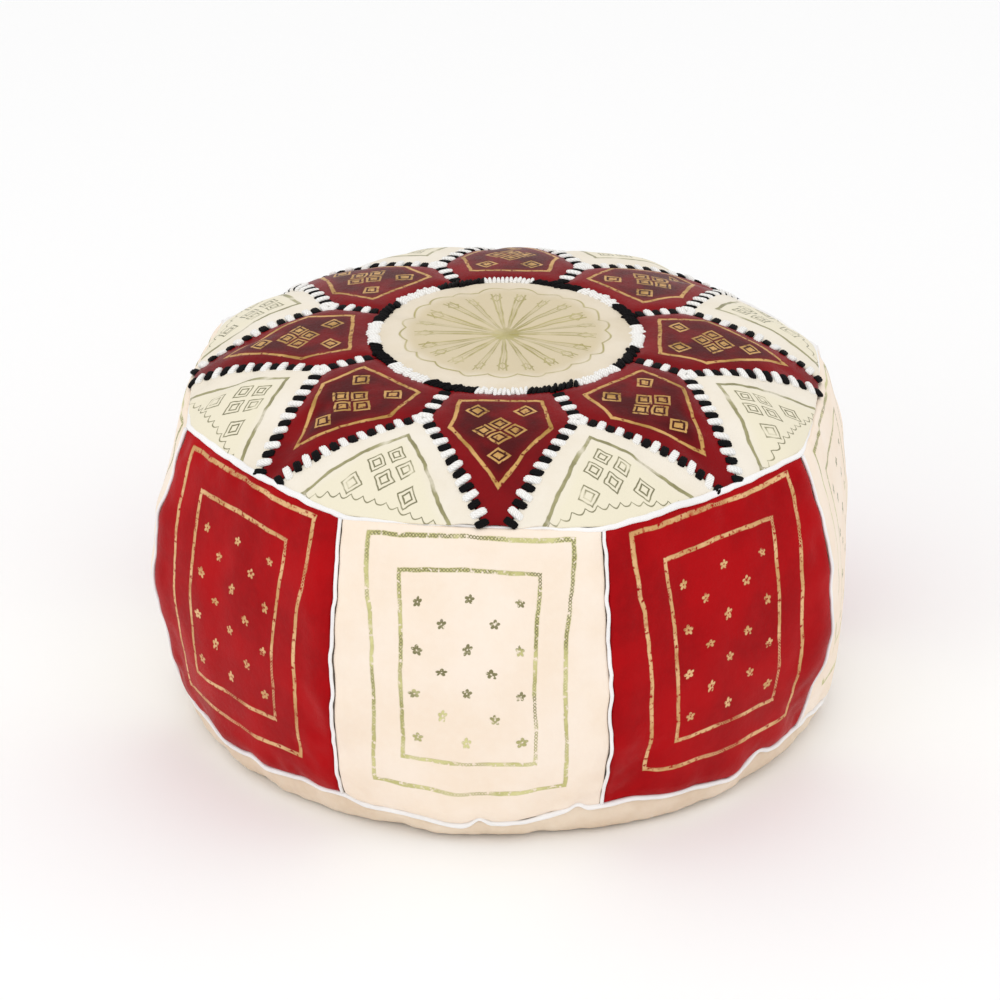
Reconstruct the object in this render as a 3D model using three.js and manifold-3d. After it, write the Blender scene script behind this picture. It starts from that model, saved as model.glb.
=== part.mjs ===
// Moroccan leather pouf: an eight-sided stuffed leather floor cushion with an embroidered star top.
// Millimetres, +Z up. The origin is on the floor under the centre, and panel 1 faces -Y.

import * as THREE from "three";
import { mergeVertices } from "three/addons/utils/BufferGeometryUtils.js";
import Module from "manifold-3d";

// Driving dimensions
const panelCount = 8;
const cover = {
  footRadius: 238, // flat part that rests on the floor
  baseSeamRadius: 257,
  baseSeamHeight: 26,
  sideSwell: 27, // how far a side seam bows out between its ends
  rimRadius: 255, // at the corners of the rim
  rimHeight: 262,
  topHeight: 305,
  leather: 3, // a panel with its turned edge and backing
};
const flattening = { low: 0.1105, high: 0.0655 }; // panels are flatter than round, most at the rim
const star = {
  twist: 4.5, // degrees from the side panels
  medallionRadius: 97,
  ringRadius: 107,
  shoulderRadius: 151, // where two petals part
  tipRadius: 244,
  tipHalfWidth: 9.5,
  stripHalfWidth: 5.6,
  threadHeight: 1, // the whipped thread stands above the leather
};
const piping = { radius: 2.2, sunk: 0.5 };
const lining = { thickness: 1.2, gap: 0.4 };
const zip = {
  slotHalfLength: 180,
  slotHalfWidth: 12,
  flangeWidth: 3,
  chainHalfLength: 150,
  travel: 280,
  toothPitch: 6,
  height: 6.4, // middle of the tape above the floor
  tapeReach: 18, // from the middle of the chain to the tape's outer edge
  tapeThickness: 0.8,
  stopLength: 3,
};
const gap = 0.3;
const segments = 32;
const cutter = { reach: 400, below: -50 }; // larger than the pouf, to cut right through it
const crownRoom = { low: 240, high: 340 }; // the space over the rim

const wasm = await Module();
wasm.setup();

// Solids

function toSolid(geometry) {
  const bare = geometry.clone();
  bare.deleteAttribute("normal");
  bare.deleteAttribute("uv");
  const merged = mergeVertices(bare, 1e-4);
  const index = merged.index.array;
  const corners = [];
  for (let i = 0; i < index.length; i += 3) {
    const [a, b, c] = index.slice(i, i + 3);
    if (a !== b && b !== c && c !== a) {
      corners.push(a, b, c);
    }
  }
  return new wasm.Manifold(new wasm.Mesh({
    numProp: 3,
    vertProperties: Float32Array.from(merged.attributes.position.array),
    triVerts: Uint32Array.from(corners),
  }));
}

function toGeometry(solid) {
  const mesh = solid.getMesh();
  const geometry = new THREE.BufferGeometry();
  geometry.setAttribute("position", new THREE.BufferAttribute(mesh.vertProperties.slice(), 3));
  geometry.setIndex(new THREE.BufferAttribute(mesh.triVerts.slice(), 1));
  geometry.computeVertexNormals();
  return geometry;
}

function box(x0, x1, y0, y1, z0, z1) {
  const geometry = new THREE.BoxGeometry(x1 - x0, y1 - y0, z1 - z0);
  return toSolid(geometry.translate((x0 + x1) / 2, (y0 + y1) / 2, (z0 + z1) / 2));
}

// Everything between two heights.
function slab(z0, z1) {
  return box(-cutter.reach, cutter.reach, -cutter.reach, cutter.reach, z0, z1);
}

function upright(radius, z0, z1) {
  const geometry = new THREE.CylinderGeometry(radius, radius, z1 - z0, segments * 2);
  return toSolid(geometry.rotateX(Math.PI / 2).translate(0, 0, (z0 + z1) / 2));
}

// An upright prism over a plan outline, tall enough to cut the whole cover.
function prism(points) {
  const shape = new THREE.Shape(points);
  const geometry = new THREE.ExtrudeGeometry(shape, { depth: cutter.reach, bevelEnabled: false });
  return toSolid(geometry.translate(0, 0, cutter.below));
}

function joined(solids) {
  return solids.reduce((whole, part) => whole.add(part));
}

// The cover's outer profile, from the middle of the base to the middle of the top

const seamRoom = piping.radius + 0.6; // leather stops this far from the middle of a seam

function baseCurve() {
  const { footRadius, baseSeamRadius, baseSeamHeight } = cover;
  const steps = 3;
  const points = [new THREE.Vector2(0, 0)];
  for (let step = 0; step <= steps; step += 1) {
    const turn = (step / steps) * Math.PI / 2;
    const radius = footRadius + (baseSeamRadius - footRadius) * Math.sin(turn);
    points.push(new THREE.Vector2(radius, baseSeamHeight * (1 - Math.cos(turn))));
  }
  return points;
}

function seamPoint(height) {
  const t = (height - cover.baseSeamHeight) / (cover.rimHeight - cover.baseSeamHeight);
  const straight = cover.baseSeamRadius + (cover.rimRadius - cover.baseSeamRadius) * t;
  return new THREE.Vector2(straight + cover.sideSwell * Math.sin(Math.PI * t), height);
}

function sideCurve() {
  const { baseSeamHeight, rimHeight } = cover;
  const heights = [baseSeamHeight + seamRoom, 75, 125, 175, 215, 242, rimHeight - seamRoom, rimHeight];
  return heights.map(seamPoint);
}

function crownCurve() {
  const rise = cover.topHeight - cover.rimHeight;
  const height = (radius) => cover.topHeight - rise * (radius / cover.rimRadius) ** 4;
  return [228, 190, 140, 70, 0].map((radius) => new THREE.Vector2(radius, height(radius)));
}

const coverProfile = [...baseCurve(), ...sideCurve(), ...crownCurve()];

// A copy of a profile moved square to itself: inward when distance is positive.
function offset(profile, distance) {
  return profile.map((point, i) => {
    const before = profile[Math.max(i - 1, 0)];
    const after = profile[Math.min(i + 1, profile.length - 1)];
    const inFirst = point.clone().sub(before).normalize();
    const inLast = after.clone().sub(point).normalize();
    const along = inFirst.add(inLast).normalize();
    const side = i === 0 || i === profile.length - 1 ? along : inLast;
    const mitre = distance / Math.max(along.dot(side), 0.5);
    const moved = new THREE.Vector2(point.x - along.y * mitre, point.y + along.x * mitre);
    return point.x === 0 ? new THREE.Vector2(0, point.y + Math.sign(along.x) * distance) : moved;
  });
}

// How far a point of the round outer profile moves in, so that each panel is flatter than round.
function moveAt(source, angle) {
  const rise = (source.y - cover.baseSeamHeight) / (cover.rimHeight - cover.baseSeamHeight);
  const t = THREE.MathUtils.clamp(rise, 0, 1);
  const share = (flattening.low * t - flattening.high * t * t) * (source.x / cover.rimRadius) ** 4;
  return -source.x * share * (1 + Math.cos(panelCount * angle)) / 2;
}

// Turns a profile about Z and gives it eight sides. Each point moves as its source on the outer
// profile does, so that walls keep their thickness and layers their gaps.
function turned(profile, sources) {
  const geometry = new THREE.LatheGeometry(profile, segments).rotateX(Math.PI / 2);
  const position = geometry.attributes.position;
  for (let i = 0; i < position.count; i += 1) {
    const x = position.getX(i);
    const y = position.getY(i);
    const radius = Math.hypot(x, y);
    if (radius > 0) {
      const factor = 1 + moveAt(sources[i % profile.length], Math.atan2(y, x)) / radius;
      position.setXY(i, x * factor, y * factor);
    }
  }
  return toSolid(geometry);
}

// Everything inside the cover at a depth below its outer face.
function coreAt(depth) {
  return turned(offset(coverProfile, depth), coverProfile);
}

function plan(radius, degrees) {
  const angle = THREE.MathUtils.degToRad(degrees);
  return new THREE.Vector2(radius * Math.cos(angle), radius * Math.sin(angle));
}

function panelAngle(number) {
  return -90 + (number - 1) * 360 / panelCount;
}

// Materials

const cherryLeather = new THREE.MeshStandardMaterial({ color: 0xa8050f, roughness: 0.45 });
const burgundyLeather = new THREE.MeshStandardMaterial({ color: 0x7a0309, roughness: 0.35 });
const creamLeather = new THREE.MeshStandardMaterial({ color: 0xfbebda, roughness: 0.6 });
const ivoryLeather = new THREE.MeshStandardMaterial({ color: 0xf3eddc, roughness: 0.55 });
const baseLeather = new THREE.MeshStandardMaterial({ color: 0xf0dfcb, roughness: 0.7 });
const whitePiping = new THREE.MeshStandardMaterial({ color: 0xf6f4f2, roughness: 0.6 });
const thread = new THREE.MeshStandardMaterial({ color: 0x2a2a2a, roughness: 0.8 });
const cotton = new THREE.MeshStandardMaterial({ color: 0xe9e2d2, roughness: 0.95 });
const zipTape = new THREE.MeshStandardMaterial({ color: 0xd9c9ae, roughness: 0.9 });
const brass = new THREE.MeshStandardMaterial({ color: 0xb08d4a, roughness: 0.35, metalness: 1 });

const pouf = new THREE.Group();

function addPiece(name, solid, material, parent = pouf) {
  const mesh = new THREE.Mesh(toGeometry(solid), material);
  mesh.name = name;
  parent.add(mesh);
}

// Stuffing and its cotton bag, both open over the zip

const liningDepth = cover.leather + lining.gap;
const fillingDepth = liningDepth + lining.thickness + lining.gap;
const channel = { halfLength: zip.slotHalfLength + 6, halfWidth: 21, height: 13 };

function addStuffing() {
  const zipRoom = box(
    -channel.halfLength, channel.halfLength, -channel.halfWidth, channel.halfWidth, -1, channel.height,
  );
  const bagOpening = box(
    -channel.halfLength + 2, channel.halfLength - 2, 1 - channel.halfWidth, channel.halfWidth - 1, -1, 8,
  );
  addPiece("filling", coreAt(fillingDepth).subtract(zipRoom), cotton);
  const bag = coreAt(liningDepth).subtract(coreAt(liningDepth + lining.thickness));
  addPiece("cotton_lining", bag.subtract(bagOpening), cotton);
}

// Star top: a medallion, eight petals, eight triangles and the whipped thread between them

const crownEdge = cover.rimRadius - seamRoom;
const starHalfAngle = 180 / panelCount;
const shoulder = plan(star.shoulderRadius, starHalfAngle);
const tip = new THREE.Vector2(star.tipRadius, star.tipHalfWidth);
const tipBeyond = tip.clone().add(tip.clone().sub(shoulder).multiplyScalar(0.11));

function mirrored(point) {
  return new THREE.Vector2(point.x, -point.y);
}

// A strip along a line in plan, round at its first end.
function strip(from, to, halfWidth) {
  const length = from.distanceTo(to);
  const middle = cutter.below + cutter.reach / 2;
  const bar = new THREE.BoxGeometry(length, halfWidth * 2, cutter.reach).translate(length / 2, 0, middle);
  const end = new THREE.CylinderGeometry(halfWidth, halfWidth, cutter.reach, 12).rotateX(Math.PI / 2);
  const solid = toSolid(bar).add(toSolid(end.translate(0, 0, middle)));
  const turn = THREE.MathUtils.radToDeg(Math.atan2(to.y - from.y, to.x - from.x));
  return solid.rotate([0, 0, turn]).translate([from.x, from.y, 0]);
}

// The stem between two petals and the two arms round the triangle beyond it.
function forkedStrip(halfWidth) {
  const stem = strip(shoulder, plan(star.ringRadius - 4, starHalfAngle), halfWidth);
  const nearArm = strip(shoulder, tipBeyond, halfWidth);
  const farArm = strip(mirrored(shoulder), mirrored(tipBeyond), halfWidth);
  return joined([stem, nearArm, farArm.rotate([0, 0, 360 / panelCount])]);
}

// The space over the rim, short of the rim piping.
function crownBlock() {
  const rim = new THREE.Vector2(cover.rimRadius, cover.rimHeight);
  const { low, high } = crownRoom;
  const corners = [[0, low], [crownEdge, low], [crownEdge, high], [0, high]];
  const outline = corners.map(([radius, height]) => new THREE.Vector2(radius, height));
  return turned(outline, corners.map(() => rim));
}

function addStarTop() {
  const crown = crownBlock();
  const leather = coreAt(0).subtract(coreAt(cover.leather)).intersect(crown);
  const threads = coreAt(-star.threadHeight).subtract(coreAt(cover.leather)).intersect(crown);
  const disc = upright(star.medallionRadius - gap / 2, crownRoom.low, crownRoom.high);
  const widerDisc = upright(star.medallionRadius + gap / 2, crownRoom.low, crownRoom.high);
  const ring = upright(star.ringRadius - gap / 2, crownRoom.low, crownRoom.high);
  const widerRing = upright(star.ringRadius + gap / 2, crownRoom.low, crownRoom.high);
  addPiece("centre_medallion", leather.intersect(disc), ivoryLeather);
  addPiece("medallion_stitching", threads.intersect(ring).subtract(widerDisc), thread);

  const fork = forkedStrip(star.stripHalfWidth).subtract(widerRing);
  const widerFork = forkedStrip(star.stripHalfWidth + gap);
  const step = 360 / panelCount;
  const cuts = widerFork.add(widerFork.rotate([0, 0, -step])).add(widerRing);
  const centre = new THREE.Vector2(0, 0);
  const petal = prism([centre, mirrored(shoulder), mirrored(tipBeyond), tipBeyond, shoulder]);
  const nextTip = mirrored(tipBeyond).rotateAround(new THREE.Vector2(), THREE.MathUtils.degToRad(step));
  const reach = 1.2;
  const triangle = prism([
    shoulder, tipBeyond, tipBeyond.clone().multiplyScalar(reach),
    nextTip.clone().multiplyScalar(reach), nextTip,
  ]);
  for (let number = 1; number <= panelCount; number += 1) {
    const turn = [0, 0, panelAngle(number) + star.twist];
    const petalPiece = leather.intersect(petal.subtract(cuts).rotate(turn));
    addPiece(`star_petal_${number}`, petalPiece, burgundyLeather);
    const trianglePiece = leather.intersect(triangle.subtract(widerFork).rotate(turn));
    addPiece(`top_triangle_${number}`, trianglePiece, ivoryLeather);
    addPiece(`star_stitching_${number}`, threads.intersect(fork.rotate(turn)), thread);
  }
}

// Side panels, cream and cherry in turn, with piping in every seam

function addSides() {
  const band = slab(cover.baseSeamHeight + seamRoom, cover.rimHeight - seamRoom);
  const wall = coreAt(0).subtract(coreAt(cover.leather)).intersect(band);
  const slope = Math.tan(Math.PI / panelCount);
  const setBack = seamRoom / Math.cos(Math.PI / panelCount);
  const corner = (radius, side) => new THREE.Vector2(radius, side * (radius * slope - setBack));
  const wedge = prism([corner(100, -1), corner(320, -1), corner(320, 1), corner(100, 1)]);
  for (let number = 1; number <= panelCount; number += 1) {
    const isCream = number % 2 === 1;
    const solid = wall.intersect(wedge.rotate([0, 0, panelAngle(number)]));
    const name = `side_panel_${number}_${isCream ? "cream" : "red"}`;
    addPiece(name, solid, isCream ? creamLeather : cherryLeather);
  }
}

function pipingSection(sides) {
  const points = [];
  for (let i = 0; i < sides; i += 1) {
    points.push(plan(piping.radius, (i + 0.5) * 360 / sides));
  }
  return points;
}

function addPipingRing(name, radius, height) {
  const centre = new THREE.Vector2(radius, height);
  const section = pipingSection(6).map((point) => point.add(centre));
  const closed = [...section, section[0].clone()];
  addPiece(name, turned(closed, closed.map(() => centre)), whitePiping);
}

function addPiping() {
  addPipingRing("rim_piping", cover.rimRadius - piping.sunk, cover.rimHeight);
  addPipingRing("base_piping", cover.baseSeamRadius - piping.sunk, cover.baseSeamHeight);
  const shape = new THREE.Shape(pipingSection(6));
  const steps = 7;
  const low = cover.baseSeamHeight + 2 * piping.radius;
  const high = cover.rimHeight - 2 * piping.radius;
  const route = [];
  for (let step = 0; step <= steps; step += 1) {
    const point = seamPoint(low + (high - low) * step / steps);
    route.push(new THREE.Vector3(point.x - piping.sunk, 0, point.y));
  }
  const extrudePath = new THREE.CatmullRomCurve3(route);
  const tube = toSolid(new THREE.ExtrudeGeometry(shape, { steps, extrudePath }));
  for (let number = 1; number <= panelCount; number += 1) {
    const turn = panelAngle(number) + starHalfAngle;
    addPiece(`side_piping_${number}`, tube.rotate([0, 0, turn]), whitePiping);
  }
}

// Base: two leather halves whose edges turn up into the slot that the zip closes

function addBase() {
  const { slotHalfLength, slotHalfWidth, flangeWidth } = zip;
  const lowBand = slab(-1, cover.baseSeamHeight - seamRoom);
  const dish = coreAt(0).subtract(coreAt(cover.leather)).intersect(lowBand);
  const slot = box(-slotHalfLength, slotHalfLength, -slotHalfWidth, slotHalfWidth, -1, 20);
  const sheet = dish.subtract(slot);
  const flangeTop = zip.height - zip.tapeThickness / 2 - gap;
  for (const [name, side] of [["base_half_front", -1], ["base_half_back", 1]]) {
    const half = box(-cutter.reach, cutter.reach, gap / 2, cutter.reach, -1, cutter.reach);
    const flange = box(
      -slotHalfLength, slotHalfLength, slotHalfWidth, slotHalfWidth + flangeWidth, 0, flangeTop,
    );
    const turn = [0, 0, side < 0 ? 180 : 0];
    addPiece(name, sheet.intersect(half.rotate(turn)).add(flange.rotate(turn)), baseLeather);
  }
}

// Zip: tapes, teeth and stops stay with the base; the slider runs along X and carries the pull

const tooth = { reach: 0.6, root: 3, back: 3.9, halfHeight: 1.4, width: 2.2 };
const sliderPart = {
  halfLength: 8,
  halfWidth: 7,
  wall: 1.8,
  plateGap: 1.8,
  plate: 1.2,
  post: 0.6,
  lip: 0.7, // half the slit that the tape runs in
  archHalfLength: 4.5,
  archFoot: 1,
  archHalfWidth: 1,
  archRoom: 1.8,
  archBar: 0.9,
};
const pullPart = {
  length: 34, halfWidth: 4.5, eyeReach: 5.4, eyeHalfWidth: 2, thickness: 1.2, pinRadius: 0.6,
};

function addZipChain() {
  const { chainHalfLength, toothPitch, height } = zip;
  const low = height - tooth.halfHeight;
  const high = height + tooth.halfHeight;
  for (const [end, side] of [["front", -1], ["back", 1]]) {
    const turn = [0, 0, side < 0 ? 180 : 0];
    const tapeEnd = zip.slotHalfLength - 2;
    const tapeLow = height - zip.tapeThickness / 2;
    const tape = box(
      -tapeEnd, tapeEnd, tooth.back + gap, zip.tapeReach, tapeLow, tapeLow + zip.tapeThickness,
    );
    addPiece(`zip_tape_${end}`, tape.rotate(turn), zipTape);
    const teeth = [box(-chainHalfLength, chainHalfLength, tooth.root, tooth.back, low, high)];
    for (let x = toothPitch / 4 - chainHalfLength; x < chainHalfLength - toothPitch / 2; x += toothPitch) {
      teeth.push(box(x, x + tooth.width, tooth.reach, tooth.root, low, high));
    }
    addPiece(`zip_teeth_${end}`, joined(teeth).rotate(turn), brass);
  }
  for (const [name, side] of [["zip_top_stop", 1], ["zip_bottom_stop", -1]]) {
    const start = chainHalfLength + gap;
    const stop = box(start, start + zip.stopLength, -tooth.back, tooth.back, low, high);
    addPiece(name, side > 0 ? stop : stop.rotate([0, 0, 180]), brass);
  }
}

function sliderSolid() {
  const { halfLength, halfWidth, wall, plateGap, plate, post, lip } = sliderPart;
  const { archHalfLength, archFoot, archHalfWidth, archRoom, archBar } = sliderPart;
  const lower = box(-halfLength, halfLength, -halfWidth, halfWidth, -plateGap - plate, -plateGap);
  const upper = box(-halfLength, halfLength, -halfWidth, halfWidth, plateGap, plateGap + plate);
  const middle = box(-halfLength / 2, halfLength / 2, -post / 2, post / 2, -plateGap, plateGap);
  const solids = [lower, upper, middle];
  for (const side of [-1, 1]) {
    const near = side < 0 ? -halfWidth : halfWidth - wall;
    solids.push(box(-halfLength, halfLength, near, near + wall, -plateGap, -lip));
    solids.push(box(-halfLength, halfLength, near, near + wall, lip, plateGap));
  }
  const under = -plateGap - plate;
  for (const start of [-archHalfLength, archHalfLength - archFoot]) {
    solids.push(box(start, start + archFoot, -archHalfWidth, archHalfWidth, under - archRoom, under));
  }
  const barLow = under - archRoom - archBar;
  const barHigh = under - archRoom;
  solids.push(box(-archHalfLength, archHalfLength, -archHalfWidth, archHalfWidth, barLow, barHigh));
  return joined(solids);
}

function pullSolid() {
  const { length, halfWidth, eyeReach, eyeHalfWidth, thickness, pinRadius } = pullPart;
  const plate = box(-length, 0, -halfWidth, halfWidth, -thickness / 2, thickness / 2);
  const eye = box(-eyeReach, 1, -eyeHalfWidth, eyeHalfWidth, -thickness, thickness);
  const pin = new THREE.CylinderGeometry(pinRadius, pinRadius, halfWidth * 2, 12);
  return plate.subtract(eye).add(toSolid(pin));
}

function addSlider() {
  const slider = new THREE.Group();
  slider.position.set(zip.travel / 2, 0, zip.height);
  addPiece("zip_slider", sliderSolid(), brass, slider);
  const pull = new THREE.Group();
  pull.position.z = -sliderPart.plateGap - sliderPart.plate - sliderPart.archRoom / 2;
  addPiece("zip_pull", pullSolid(), brass, pull);
  slider.add(pull);
  pouf.add(slider);
}

addStuffing();
addStarTop();
addSides();
addPiping();
addBase();
addZipChain();
addSlider();

export default pouf;
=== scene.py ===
import math
import random

import bmesh
import bpy
import numpy as np
from mathutils import Matrix, Vector, noise


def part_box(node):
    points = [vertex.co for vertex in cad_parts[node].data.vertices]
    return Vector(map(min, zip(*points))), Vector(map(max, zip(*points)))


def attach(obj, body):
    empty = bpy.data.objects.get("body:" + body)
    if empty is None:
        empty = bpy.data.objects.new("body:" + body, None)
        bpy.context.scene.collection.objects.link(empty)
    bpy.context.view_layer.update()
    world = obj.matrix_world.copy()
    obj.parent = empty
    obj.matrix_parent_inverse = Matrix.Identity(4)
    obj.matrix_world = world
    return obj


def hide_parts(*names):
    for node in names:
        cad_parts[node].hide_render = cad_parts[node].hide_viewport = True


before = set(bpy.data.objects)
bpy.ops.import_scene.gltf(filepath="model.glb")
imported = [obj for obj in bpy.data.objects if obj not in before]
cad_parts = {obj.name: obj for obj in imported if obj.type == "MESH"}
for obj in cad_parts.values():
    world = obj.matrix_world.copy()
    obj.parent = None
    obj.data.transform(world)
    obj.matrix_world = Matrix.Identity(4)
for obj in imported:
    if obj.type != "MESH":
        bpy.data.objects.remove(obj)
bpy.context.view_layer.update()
scene = bpy.context.scene
chance = random.Random(8)
print("frame loaded:", len(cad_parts), "nodes")


def middleHeight(node):
    low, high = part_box(node)
    return (low.z + high.z) / 2


def colour(code):
    # sRGB hex to linear, with alpha
    parts = [int(code[i:i + 2], 16) / 255 for i in (1, 3, 5)]
    return [c / 12.92 if c <= 0.04045 else ((c + 0.055) / 1.055) ** 2.4 for c in parts] + [1]


def addNode(tree, kind, inputs=(), output=0, **settings):
    node = tree.nodes.new(kind)
    for key, value in settings.items():
        setattr(node, key, value)
    for key, value in (inputs.items() if isinstance(inputs, dict) else enumerate(inputs)):
        if isinstance(value, bpy.types.NodeSocket):
            tree.links.new(value, node.inputs[key])
        elif value is not None:
            node.inputs[key].default_value = value
    return node.outputs[output]


def newMaterial(name):
    material = bpy.data.materials.new(name)
    material.use_nodes = True
    tree = material.node_tree
    return material, tree, tree.nodes["Principled BSDF"].inputs


def newPiece(name, bm, materials, body="pouf", stands=()):
    mesh = bpy.data.meshes.new(name)
    bm.to_mesh(mesh)
    bm.free()
    piece = bpy.data.objects.new(name, mesh)
    scene.collection.objects.link(piece)
    for material in materials:
        mesh.materials.append(material)
    mesh.shade_smooth()
    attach(piece, body)
    if stands:
        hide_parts(*stands)
    return piece


def smoothStep(value, low, high):
    t = np.clip((np.asarray(value, float) - low) / (high - low), 0, 1)
    return t * t * (3 - 2 * t)


# camera, light and floor
view = {"azimuth": 6.03, "elevation": 25.5, "distance": 4.0, "centre": Vector((0, 0, 0.265))}
view.update(below=0.0918, left=0.0042, lens=185.3)


def setCamera():
    turn = math.radians(view["azimuth"])
    tilt = math.radians(view["elevation"])
    back = Vector((math.sin(turn) * math.cos(tilt), -math.cos(turn) * math.cos(tilt), math.sin(tilt)))
    right = Vector((math.cos(turn), math.sin(turn), 0))
    aim = view["centre"] - back.cross(right) * view["below"] - right * view["left"]
    place = view["centre"] + back * view["distance"]
    data = bpy.data.cameras.new("camera")
    data.lens = view["lens"]
    camera = bpy.data.objects.new("camera", data)
    camera.location = place
    camera.rotation_euler = (aim - place).to_track_quat("-Z", "Y").to_euler()
    scene.collection.objects.link(camera)
    scene.camera = camera


lights = [
    {"name": "overhead", "from": (0.2, -0.5, 2.6), "size": 2.4, "power": 7.5},
    {"name": "frontLeft", "from": (-1.7, -2.6, 1.5), "size": 1.8, "power": 9},
    {"name": "frontRight", "from": (2.3, -2.1, 1.3), "size": 1.8, "power": 2.5},
]


def setStage():
    world = bpy.data.worlds.new("studio")
    scene.world = world
    world.use_nodes = True
    world.node_tree.nodes["Background"].inputs["Color"].default_value = (1, 1, 1, 1)
    world.node_tree.nodes["Background"].inputs["Strength"].default_value = 0.92
    for light in lights:
        data = bpy.data.lights.new(light["name"], "AREA")
        data.size = light["size"]
        data.energy = light["power"]
        lamp = bpy.data.objects.new(light["name"], data)
        lamp.location = light["from"]
        lamp.rotation_euler = (Vector((0, 0, 0.15)) - lamp.location).to_track_quat("-Z", "Y").to_euler()
        scene.collection.objects.link(lamp)
    material, _, shader = newMaterial("paintedStudioFloor")
    shader["Base Color"].default_value = colour("#FEFEFE")
    shader["Roughness"].default_value = 0.9
    bm = bmesh.new()
    justBelow = Matrix.Translation((0, 0, -0.0004))
    bmesh.ops.create_grid(bm, x_segments=8, y_segments=8, size=9, matrix=justBelow)
    mesh = bpy.data.meshes.new("floor")
    bm.to_mesh(mesh)
    bm.free()
    mesh.materials.append(material)
    floor = bpy.data.objects.new("floor", mesh)
    scene.collection.objects.link(floor)
    scene.view_settings.view_transform = "Standard"


setCamera()
setStage()
print("camera, lights and floor set")


# the cover is one form, from the middle of the base over the sides to the middle of the top
cover = {
    "panels": 8,
    "topHeight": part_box("centre_medallion")[1].z,
    "rimHeight": middleHeight("rim_piping"),
    "baseSeamHeight": middleHeight("base_piping"),
    "footRadius": 0.238,
    "baseSeamRadius": 0.257,
    "rimRadius": 0.255,
    "sideSwell": 0.027,
    "flatLow": 2.81,  # how near a panel is to flat: none at the base seam, most at half height
    "flatHigh": 2.22,
    "unevenBroad": 0.0022,
    "unevenFine": 0.0010,
    "unevenHigh": 0.0016,
    "columns": 160,
    "sideRows": 24,
    "crownRowPitch": 0.0085,
    "pressure": 5.0,
    "slack": 0.016,  # how much larger the leather is cut than the form
    "mostSwell": 0.0026,
    "frames": 22,
}
columnStep = 360 / cover["columns"]
panelTurn = 360 / cover["panels"]
halfTurn = panelTurn / 2
firstSeam = halfTurn - 90
panelNumbers = range(1, cover["panels"] + 1)
seamSpan = cover["rimHeight"] - cover["baseSeamHeight"]


def coverProfile():
    foot, seamRadius, seamHeight = (cover[k] for k in ("footRadius", "baseSeamRadius", "baseSeamHeight"))
    base = [(foot * share, 0.0) for share in (0, 0.25, 0.5, 0.7, 0.82, 0.9, 0.96)]
    for step in range(7):
        turn = step / 6 * math.pi / 2
        base.append((foot + (seamRadius - foot) * math.sin(turn), seamHeight * (1 - math.cos(turn))))
    side = []
    for step in range(1, cover["sideRows"] + 1):
        t = step / cover["sideRows"]
        radius = seamRadius + (cover["rimRadius"] - seamRadius) * t
        radius += cover["sideSwell"] * math.sin(math.pi * t)
        side.append((radius, seamHeight + seamSpan * t))
    crown = []
    radius = cover["rimRadius"] - 0.003
    while radius > 0.004:
        drop = (cover["topHeight"] - cover["rimHeight"]) * (radius / cover["rimRadius"]) ** 4
        crown.append((radius, cover["topHeight"] - drop))
        radius -= min(cover["crownRowPitch"], 0.004 + 0.5 * (cover["rimRadius"] - radius))
    crown.append((0.0, cover["topHeight"]))
    return base + side + crown, len(base) - 1, len(base) + len(side) - 1


profile, baseSeamRow, rimRow = coverProfile()
topRow = len(profile) - 1


def swellAt(radius, height, angle):
    # share by which a point of the round form moves in, because a panel is flatter than round
    t = np.clip((height - cover["baseSeamHeight"]) / seamSpan, 0, 1)
    outward = np.minimum(radius / cover["rimRadius"], 1) ** 4
    flat = (cover["flatLow"] * t - cover["flatHigh"] * t * t) * outward
    halfPanel = math.pi / cover["panels"]
    local = (np.asarray(angle) + halfPanel) % (2 * halfPanel) - halfPanel
    return -flat * (1 - math.cos(halfPanel) / np.cos(local))


seamWave = {"sag": 0.003, "eachPanel": 0.004, "creamPanel": 0.0038, "lopsided": 0.0013, "ripple": 0.0009}


def baseSeamWave(angle):
    # the base seam rides high at the side seams and sags between them, most on the cream panels
    turn = angle + math.pi / 2
    eachPanel = seamWave["eachPanel"] * math.cos(cover["panels"] * turn)
    creamPanel = seamWave["creamPanel"] * math.cos(cover["panels"] / 2 * turn)
    sag = -seamWave["sag"] - eachPanel - creamPanel
    return sag + seamWave["lopsided"] * math.sin(3 * turn + 1) + seamWave["ripple"] * math.sin(29 * turn)


def formPoint(radius, height, angle):
    swollen = radius * (1 + swellAt(radius, height, angle))
    lift = baseSeamWave(angle)
    seamHeight = cover["baseSeamHeight"]
    if height <= seamHeight:
        height *= 1 + lift / seamHeight
    else:
        height += lift * (1 - smoothStep(height - seamHeight, 0, 0.12))
    place = Vector((swollen * math.cos(angle), swollen * math.sin(angle), height))
    edge = (radius / cover["rimRadius"]) ** 3
    if 0 < height:
        soft = noise.noise(place * 9) * cover["unevenBroad"] + noise.noise(place * 24) * cover["unevenFine"]
        place += place.normalized() * soft * edge
        place.z += noise.noise(place * 14 + Vector((5, 5, 5))) * cover["unevenHigh"] * edge
    return place


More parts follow.
